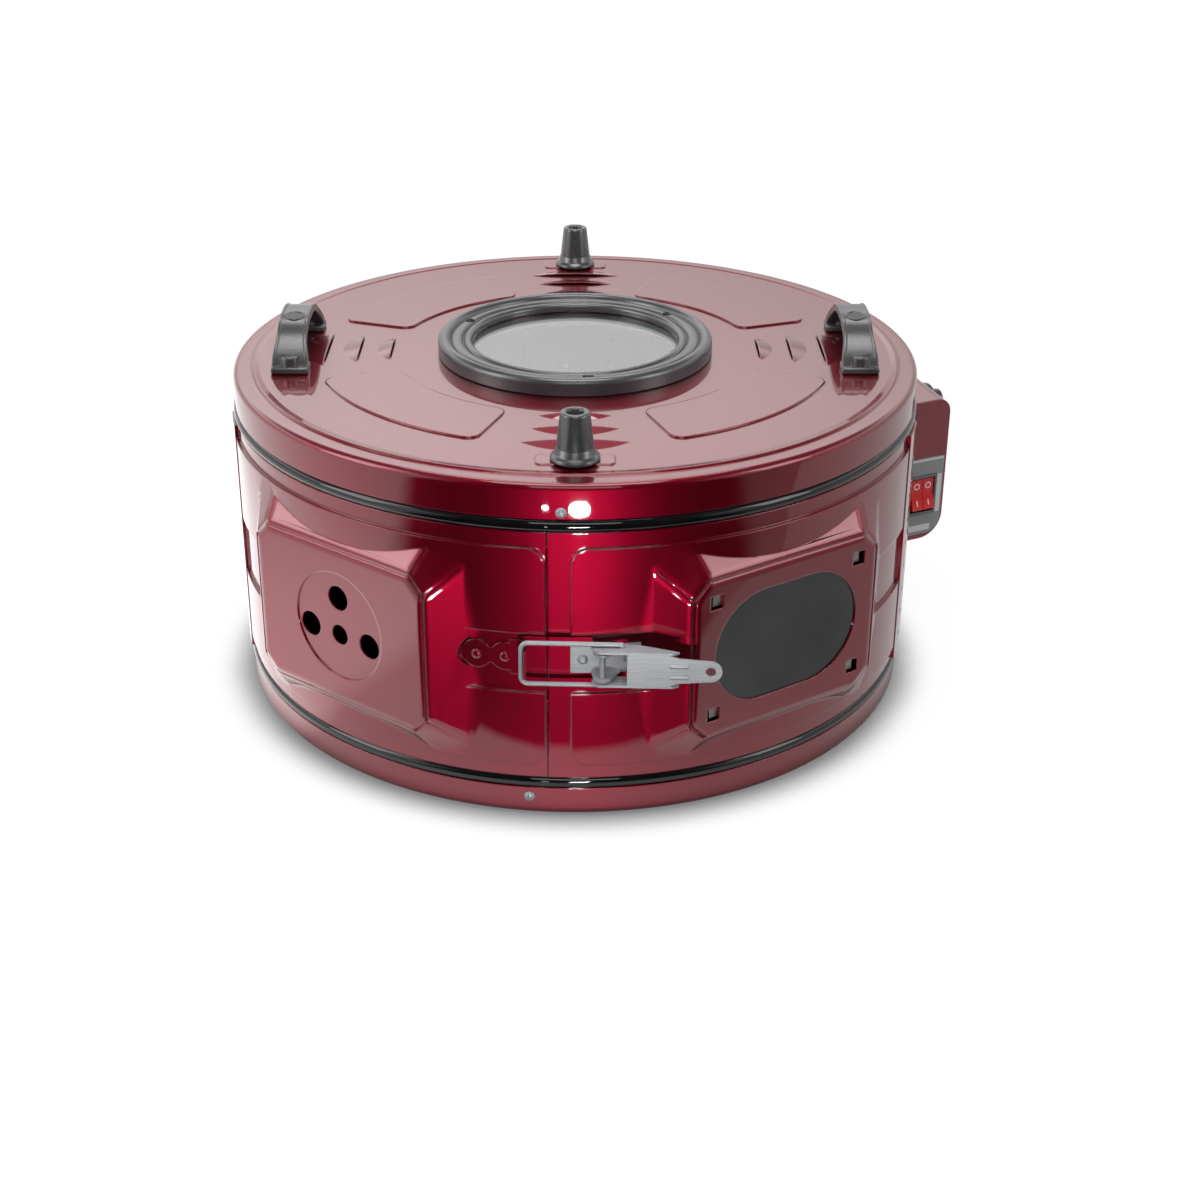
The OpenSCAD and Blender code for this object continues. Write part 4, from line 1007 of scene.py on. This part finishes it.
@dataclass
class LidWindow:
    """Moulded ring round the lid glass, with a roll, a flat band, a lip and three screw wells, in millimetres."""

    bore: float = 77.0
    rim: float = 103.0
    height: float = 13.0
    lip_r: float = 3.6
    lip_z: float = 6.9
    roll_r: float = 4.75
    chamfer: float = 0.8
    glass_edge: float = 86.8
    glass_z: float = 4.3
    band: tuple[tuple[float, float], ...] = (
        (84.5, 8.2), (85.1, 9.5), (85.9, 10.3), (87.4, 10.6), (91.2, 10.6), (92.3, 10.2), (92.9, 9.5), (93.2, 9.0),
    )
    screw_r: float = 89.3
    screw_turns: tuple[float, ...] = (-84.0, 36.0, 156.0)
    well_floor: float = 6.5
    well_deep: float = 8.0
    well_r: float = 4.1

    def build(self) -> None:
        """Spins the ring and sinks its screw wells."""
        lip = arc((self.bore + self.lip_r, self.lip_z), self.lip_r, 180, 20, 12)
        roll = arc((self.rim - self.roll_r, self.height - self.roll_r), self.roll_r, 165, 0, 16)
        seat = [(self.rim, self.chamfer), (self.rim - self.chamfer, 0.0), (self.glass_edge, 0.0),
                (self.glass_edge, self.glass_z), (self.bore, self.glass_z)]
        ring = revolve("window_ring_moulded", millimetres([*lip, *self.band, *roll, *seat]), 144)
        middle = (self.screw_r * MM, 0, (self.well_floor + self.well_deep / 2) * MM)
        for turn in self.screw_turns:
            well = post("well", self.well_r * MM, self.well_deep * MM, middle, sides=32)
            join(ring, placed(well, Matrix.Rotation(math.radians(turn), 4, "Z")), Join.CUT)
        ring.location.z = LID_DISC_Z
        settle(ring)
        dress(ring, Slot.BLACK_PLASTIC, Body.LID, "window_ring")


@dataclass
class ConeFoot:
    """Hollow cone on the lid, a little above its disc.

    Args:
        node: solid that it replaces.
        y: its place along y, in metres.
        lift: height of its foot over the disc, in metres.
    """

    node: str
    y: float
    lift: float = 0.8 * MM

    def build(self) -> None:
        """Spins the cone with its flange, mould line and bore."""
        outline = [(2.1, 0.0), (15.6, 0.0), (16.5, 0.9), (16.5, 2.2), (15.9, 3.2), (14.2, 4.2), (13.3, 5.4),
                   (12.8, 8.6), (12.5, 8.9), (12.45, 9.4), (9.95, 31.4), (9.6, 32.5), (8.9, 33.0), (6.6, 33.0),
                   (5.9, 32.6), (5.5, 31.8), (5.5, 9.0), (2.1, 9.0)]
        cone = revolve(self.node + "_cone", millimetres(outline), 64)
        cone.location = (0.0, self.y, LID_DISC_Z + self.lift)
        settle(cone, 40)
        dress(cone, Slot.BLACK_PLASTIC, Body.LID, self.node)


@dataclass
class BowHandle:
    """Moulded bow handle with flared feet and screw towers, in millimetres apart from x.

    Args:
        node: solid that it replaces.
        x: its place along x, in metres.
        half, rise, power: half length, height and fullness of the bow.
        thick, wide, border: thickness, half width and raised borders of the strap.
        flare: shares of the half length where the strap starts to widen and over which it does.
        foot_wide, foot_half, foot_high: half width, half length and height of a foot.
        foot_gap: how far the strap stays inside a foot's width.
        tower: radius, height and middle height of a screw tower.
        stations: steps along the strap.
        boss_at: place of the round boss along the bow, from -1 to 1.
    """

    node: str
    x: float
    half: float = 57.0
    rise: float = 32.0
    power: float = 2.6
    thick: float = 6.2
    wide: float = 10.8
    border: float = 0.7
    flare: tuple[float, float] = (0.6, 0.34)
    foot_wide: float = 13.5
    foot_half: float = 9.0
    foot_high: float = 5.0
    foot_gap: float = 0.3
    tower: tuple[float, float, float] = (7.0, 11.0, 6.5)
    stations: int = 36
    boss_at: float = -0.24

    def line(self, t: float) -> tuple[float, float]:
        """Gives a point of the bow's middle line.

        Args:
            t: place along the bow, from -1 to 1.

        Returns:
            Distance along the handle and height, in millimetres.
        """
        bulge = 1 - abs(t) ** self.power
        outer = (self.half * t, self.rise * bulge)
        inner = ((self.half - self.foot_half) * t, (self.rise - self.thick) * bulge)
        return (outer[0] + inner[0]) / 2, (outer[1] + inner[1]) / 2

    def section(self) -> list[tuple[float, float]]:
        """Draws the strap's cross-section, with raised borders.

        Returns:
            Its points, across in half widths and up in millimetres.
        """
        t = self.thick / 2
        bed = t - self.border
        return [(-0.94, -t), (0.94, -t), (1.0, -t + 0.7), (1.0, t - 0.6), (0.95, t), (0.84, t), (0.78, bed),
                (-0.78, bed), (-0.84, t), (-0.95, t), (-1.0, t - 0.6), (-1.0, -t + 0.7)]

    def strap(self) -> bpy.types.Object:
        """Draws the bow out from its cross-section, station by station.

        Returns:
            The bow.
        """
        outline = self.section()
        count = len(outline)
        points = [Vector((u * self.width(-1) * MM, 0.0, v * MM)) for u, v in outline]
        obj = mesh_object(self.node + "_bow", points, [(i, (i + 1) % count) for i in range(count)])
        edit(obj)
        bpy.ops.mesh.edge_face_add()
        bpy.ops.mesh.select_mode(type=Pick.FACES.value)
        bpy.ops.mesh.select_all(action="SELECT")
        steps = [-1 + 2 * i / self.stations for i in range(self.stations + 1)]
        places = [self.line(t) for t in steps]
        slopes = [self.slope(t) for t in steps]
        bpy.ops.transform.rotate(value=-slopes[0], orient_axis="X", center_override=(0, 0, 0))
        bpy.ops.transform.translate(value=(0, places[0][0] * MM, places[0][1] * MM))
        for i in range(1, len(steps)):
            move = ((places[i][0] - places[i - 1][0]) * MM, (places[i][1] - places[i - 1][1]) * MM)
            bpy.ops.mesh.extrude_region_move(TRANSFORM_OT_translate={"value": (0, *move)})
            centre = (0, places[i][0] * MM, places[i][1] * MM)
            bpy.ops.transform.rotate(value=slopes[i - 1] - slopes[i], orient_axis="X", center_override=centre)
            ratio = self.width(steps[i]) / self.width(steps[i - 1])
            bpy.ops.transform.resize(value=(ratio, 1, 1), center_override=centre)
        leave()
        return obj

    def width(self, t: float) -> float:
        """Gives the half width of the strap, wider towards its feet.

        Args:
            t: place along the bow, from -1 to 1.

        Returns:
            The half width in millimetres.
        """
        start, length = self.flare
        share = min(max((abs(t) - start) / length, 0.0), 1.0)
        return self.wide + (self.foot_wide - self.foot_gap - self.wide) * share * share * (3 - 2 * share)

    def slope(self, t: float) -> float:
        """Gives the slope of the bow's middle line.

        Args:
            t: place along the bow, from -1 to 1.

        Returns:
            The angle from the level, in radians.
        """
        step = 0.01
        a, b = self.line(max(t - step, -1)), self.line(min(t + step, 1))
        return math.atan2(b[1] - a[1], b[0] - a[0])

    def build(self) -> None:
        """Builds the bow with its feet, towers and round boss."""
        bow = self.strap()
        size = (2 * self.foot_wide * MM, 2 * self.foot_half * MM, self.foot_high * MM)
        radius, height, middle = (v * MM for v in self.tower)
        for end in (-1, 1):
            y = end * (self.half - self.foot_half) * MM
            join(bow, block("foot", size, (0, y, self.foot_high / 2 * MM), 1.6 * MM, 3), Join.ADD)
            join(bow, post("tower", radius, height, (0, y, middle), 1.2 * MM), Join.ADD)
        join(bow, block("under", (0.1, 0.2, 0.02), (0, 0, -0.01)), Join.CUT)
        placed(bow, Matrix.Translation((self.x, 0, LID_DISC_Z)))
        settle(bow, 40)
        dress(bow, Slot.BLACK_PLASTIC, Body.LID, self.node)
        self.round_boss()

    def round_boss(self) -> None:
        """Adds the plain round boss near the top of the bow."""
        y, z = self.line(self.boss_at)
        outline = [(0.0, -0.6), (7.0, -0.6), (7.0, 0.2), (6.7, 0.5), (6.0, 0.5), (5.6, 0.1), (0.0, 0.1)]
        boss = revolve(self.node + "_boss", millimetres(outline), 40)
        lift = (self.thick / 2 - self.border) * MM
        matrix = (Matrix.Translation((self.x, y * MM, LID_DISC_Z + z * MM))
                  @ Matrix.Rotation(self.slope(self.boss_at), 4, "X") @ Matrix.Translation((0, 0, lift)))
        placed(boss, matrix)
        settle(boss)
        dress(boss, Slot.BLACK_PLASTIC, Body.LID)


@dataclass
class PanHeadScrew:
    """Round-headed cross-slot screws, in millimetres.

    Args:
        radius: radius of the head.
        height: height of the head.
        slot: length, width and height of the pieces that cut the cross.
        slot_lift: how far their middle lies over the head.
        slot_turn: how far the cross is turned, in degrees.
    """

    radius: float = 3.8
    height: float = 2.4
    slot: tuple[float, float, float] = (4.4, 0.95, 3.0)
    slot_lift: float = 0.7
    slot_turn: float = 20.0

    def head(self, name: str) -> bpy.types.Object:
        """Spins one head on the XY plane and cuts its cross slot.

        Args:
            name: name of the object.

        Returns:
            The head.
        """
        turns = [math.radians(a) for a in range(0, 90, 12)]
        dome = [(self.radius * math.cos(t), self.height * math.sin(t)) for t in turns]
        obj = revolve(name, millimetres([(0.0, 0.0)] + dome + [(0.0, self.height)]), 28)
        for turn in (0, 90):
            slot = block("slot", tuple(v * MM for v in self.slot), (0, 0, (self.height + self.slot_lift) * MM))
            join(obj, placed(slot, Matrix.Rotation(math.radians(turn + self.slot_turn), 4, "Z")), Join.CUT)
        return obj

    def set(self, name: str, places: Sequence[Matrix], body: Body, node: str) -> None:
        """Copies the head to each place and joins the copies.

        Args:
            name: name of the joined piece.
            places: where each head goes, its axis along Z.
            body: group that the screws ride on.
            node: solid that they replace.
        """
        heads = [placed(self.head(f"{name}_{i}"), place) for i, place in enumerate(places)]
        deselect()
        for obj in heads:
            obj.select_set(True)
        bpy.context.view_layer.objects.active = heads[0]
        bpy.ops.object.join()
        joined = bpy.context.object
        joined.name = name
        settle(joined, 30)
        dress(joined, Slot.ZINC, body, node)


def on_drum(angle: float, radius: float, z: float) -> Matrix:
    """Returns: a place on the drum at an angle in degrees from the front, with Z pointing outwards."""
    return (Matrix.Rotation(math.radians(angle), 4, "Z") @ Matrix.Translation((0, -radius, z))
            @ Matrix.Rotation(math.radians(90), 4, "X"))


@dataclass
class CatchRivets:
    """Painted heads of the two rivets that hold the catch, in millimetres."""

    places: tuple[float, ...] = (-54.0, -35.0)
    latch_z: float = 123.0
    strap: float = 1.6

    def build(self) -> None:
        """Spins a flat dome over each rivet."""
        for i, x in enumerate(self.places):
            outline = [(0.0, 0.0), (3.8, 0.0), (3.75, 0.6), (3.3, 1.2), (2.2, 1.7), (1.0, 1.9), (0.0, 1.95)]
            dome = revolve(f"catch_rivet_head_{i}", millimetres(outline), 32)
            turn = RING_TURN + math.degrees(math.asin(x * MM / DRUM_R))
            placed(dome, on_drum(turn, DRUM_R + self.strap * MM, self.latch_z * MM))
            settle(dome)
            dress(dome, Slot.RED_PAINT, Body.OVEN)


@dataclass
class GlassTabs:
    """Bare ends of the tabs that show in the square holes round the side window, in millimetres."""

    turn: float = RING_TURN + 36.0
    x: float = 59.2
    z: float = 42.0
    size: tuple[float, float, float] = (7.6, 0.9, 7.4)
    behind: float = 2.6
    edge: float = 0.3

    def build(self) -> None:
        """Adds a flat plate behind each hole."""
        for i, (sx, sz) in enumerate(((-1, -1), (1, -1), (-1, 1), (1, 1))):
            centre = (sx * self.x * MM, self.behind * MM - BOSS_REACH, BOSS_Z + sz * self.z * MM)
            plate = block(f"glass_tab_{i}", tuple(v * MM for v in self.size), centre, self.edge * MM)
            placed(plate, Matrix.Rotation(math.radians(self.turn), 4, "Z"))
            settle(plate)
            dress(plate, Slot.ELEMENT_STEEL, Body.OVEN)


@dataclass
class SwitchFace:
    """Printed panel and marked rockers on the side of the control box.

    Args:
        origin: middle of the panel, in millimetres.
        turn: direction of the panel, in degrees.
        prints: size and middle of each pale print on the panel, in millimetres.
        rocker_x, pivot_y: place of a rocker's pin beside and behind the panel's middle.
        tilt: angle that a rocker and each of its halves lean by, in degrees.
        mark_y, mark_z: place of the marks before, and over or under, the pin.
        ring: radius, wire and flatness of the off mark.
        bar: sizes of the on mark.
    """

    origin: tuple[float, float, float] = (276.94, 34.17, 113.5)
    turn: float = 24.981
    prints: dict[str, tuple[tuple[float, float, float], tuple[float, float, float]]] = field(default_factory=lambda: {
        "print_line": ((30.0, 0.16, 1.7), (4.2, -0.85, 29.4)),
        "print_strip": ((4.4, 0.16, 33.0), (16.6, -0.85, -1.0)),
        "print_foot": ((22.0, 0.16, 5.4), (-0.4, -0.85, -29.6)),
    })
    rocker_x: float = 5.3
    pivot_y: float = 3.0
    tilt: float = 9.0
    mark_y: float = 6.1
    mark_z: float = 7.0
    ring: tuple[float, float, float] = (2.3, 0.45, 0.3)
    bar: tuple[float, float, float] = (0.9, 0.3, 4.4)

    def panel(self) -> Matrix:
        """Returns: the place of the panel's middle, facing -Y."""
        return Matrix.Translation(Vector(self.origin) * MM) @ Matrix.Rotation(math.radians(self.turn), 4, "Z")

    def build(self) -> None:
        """Adds the pale prints and the rocker marks."""
        for name, (size, centre) in self.prints.items():
            piece = block(name, tuple(v * MM for v in size), tuple(v * MM for v in centre), 0.05 * MM, 1)
            settle(placed(piece, self.panel()))
            dress(piece, Slot.GREY_PANEL, Body.OVEN, finish=PALE_PRINT)
        for side, body in ((-1, Body.ROCKER_A), (1, Body.ROCKER_B)):
            self.marks(side, body)

    def rocker(self, side: int) -> Matrix:
        """Returns: the place of a rocker's pivot, turned with the rocker."""
        return (self.panel() @ Matrix.Translation((side * self.rocker_x * MM, self.pivot_y * MM, 0))
                @ Matrix.Rotation(math.radians(-self.tilt), 4, "X"))

    def marks(self, side: int, body: Body) -> None:
        """Adds the off ring and the on bar to a rocker.

        Args:
            side: -1 for the left rocker, 1 for the right one.
            body: group of the rocker.
        """
        lean = math.radians(self.tilt)
        radius, wire, flatness = self.ring
        deselect()
        bpy.ops.mesh.primitive_torus_add(major_radius=radius * MM, minor_radius=wire * MM, major_segments=32,
                                         minor_segments=8)
        ring = bpy.context.object
        ring.name = f"off_mark_{body.value}"
        upper = self.rocker(side) @ Matrix.Translation((0, -self.mark_y * MM, self.mark_z * MM))
        placed(ring, upper @ Matrix.Rotation(lean, 4, "X") @ Matrix.Rotation(math.radians(90), 4, "X")
               @ Matrix.Diagonal((1, 1, flatness, 1)))
        bar = block(f"on_mark_{body.value}", tuple(v * MM for v in self.bar), (0, 0, 0), 0.1 * MM, 1)
        lower = self.rocker(side) @ Matrix.Translation((0, -self.mark_y * MM, -self.mark_z * MM))
        placed(bar, lower @ Matrix.Rotation(-lean, 4, "X"))
        for piece in (ring, bar):
            settle(piece)
            dress(piece, Slot.CERAMIC, body, finish=WHITE_MARK)


def main() -> None:
    """Builds the studio and the oven's pieces in order."""
    logging.basicConfig(level=logging.INFO, format="%(message)s")
    Studio().build()
    Solids().dress_all()
    PressedSheet().build()
    LidRim().build()
    LidWindow().build()
    ConeFoot("foot_front", -CONE_Y).build()
    ConeFoot("foot_rear", CONE_Y).build()
    BowHandle("handle_left", -HANDLE_X).build()
    BowHandle("handle_right", HANDLE_X).build()
    screw = PanHeadScrew()
    base_places = [on_drum(turn, DRUM_R, BASE_SCREW_Z) for turn in BASE_SCREW_TURNS]
    screw.set("base_skirt_screws", base_places, Body.OVEN, "base_screws")
    lid_places = [on_drum(turn, DRUM_R, LID_SCREW_Z) for turn in LID_SCREW_TURNS]
    screw.set("lid_skirt_screws", lid_places, Body.LID, "lid_screws")
    CatchRivets().build()
    GlassTabs().build()
    SwitchFace().build()


if __name__ == "__main__":
    main()
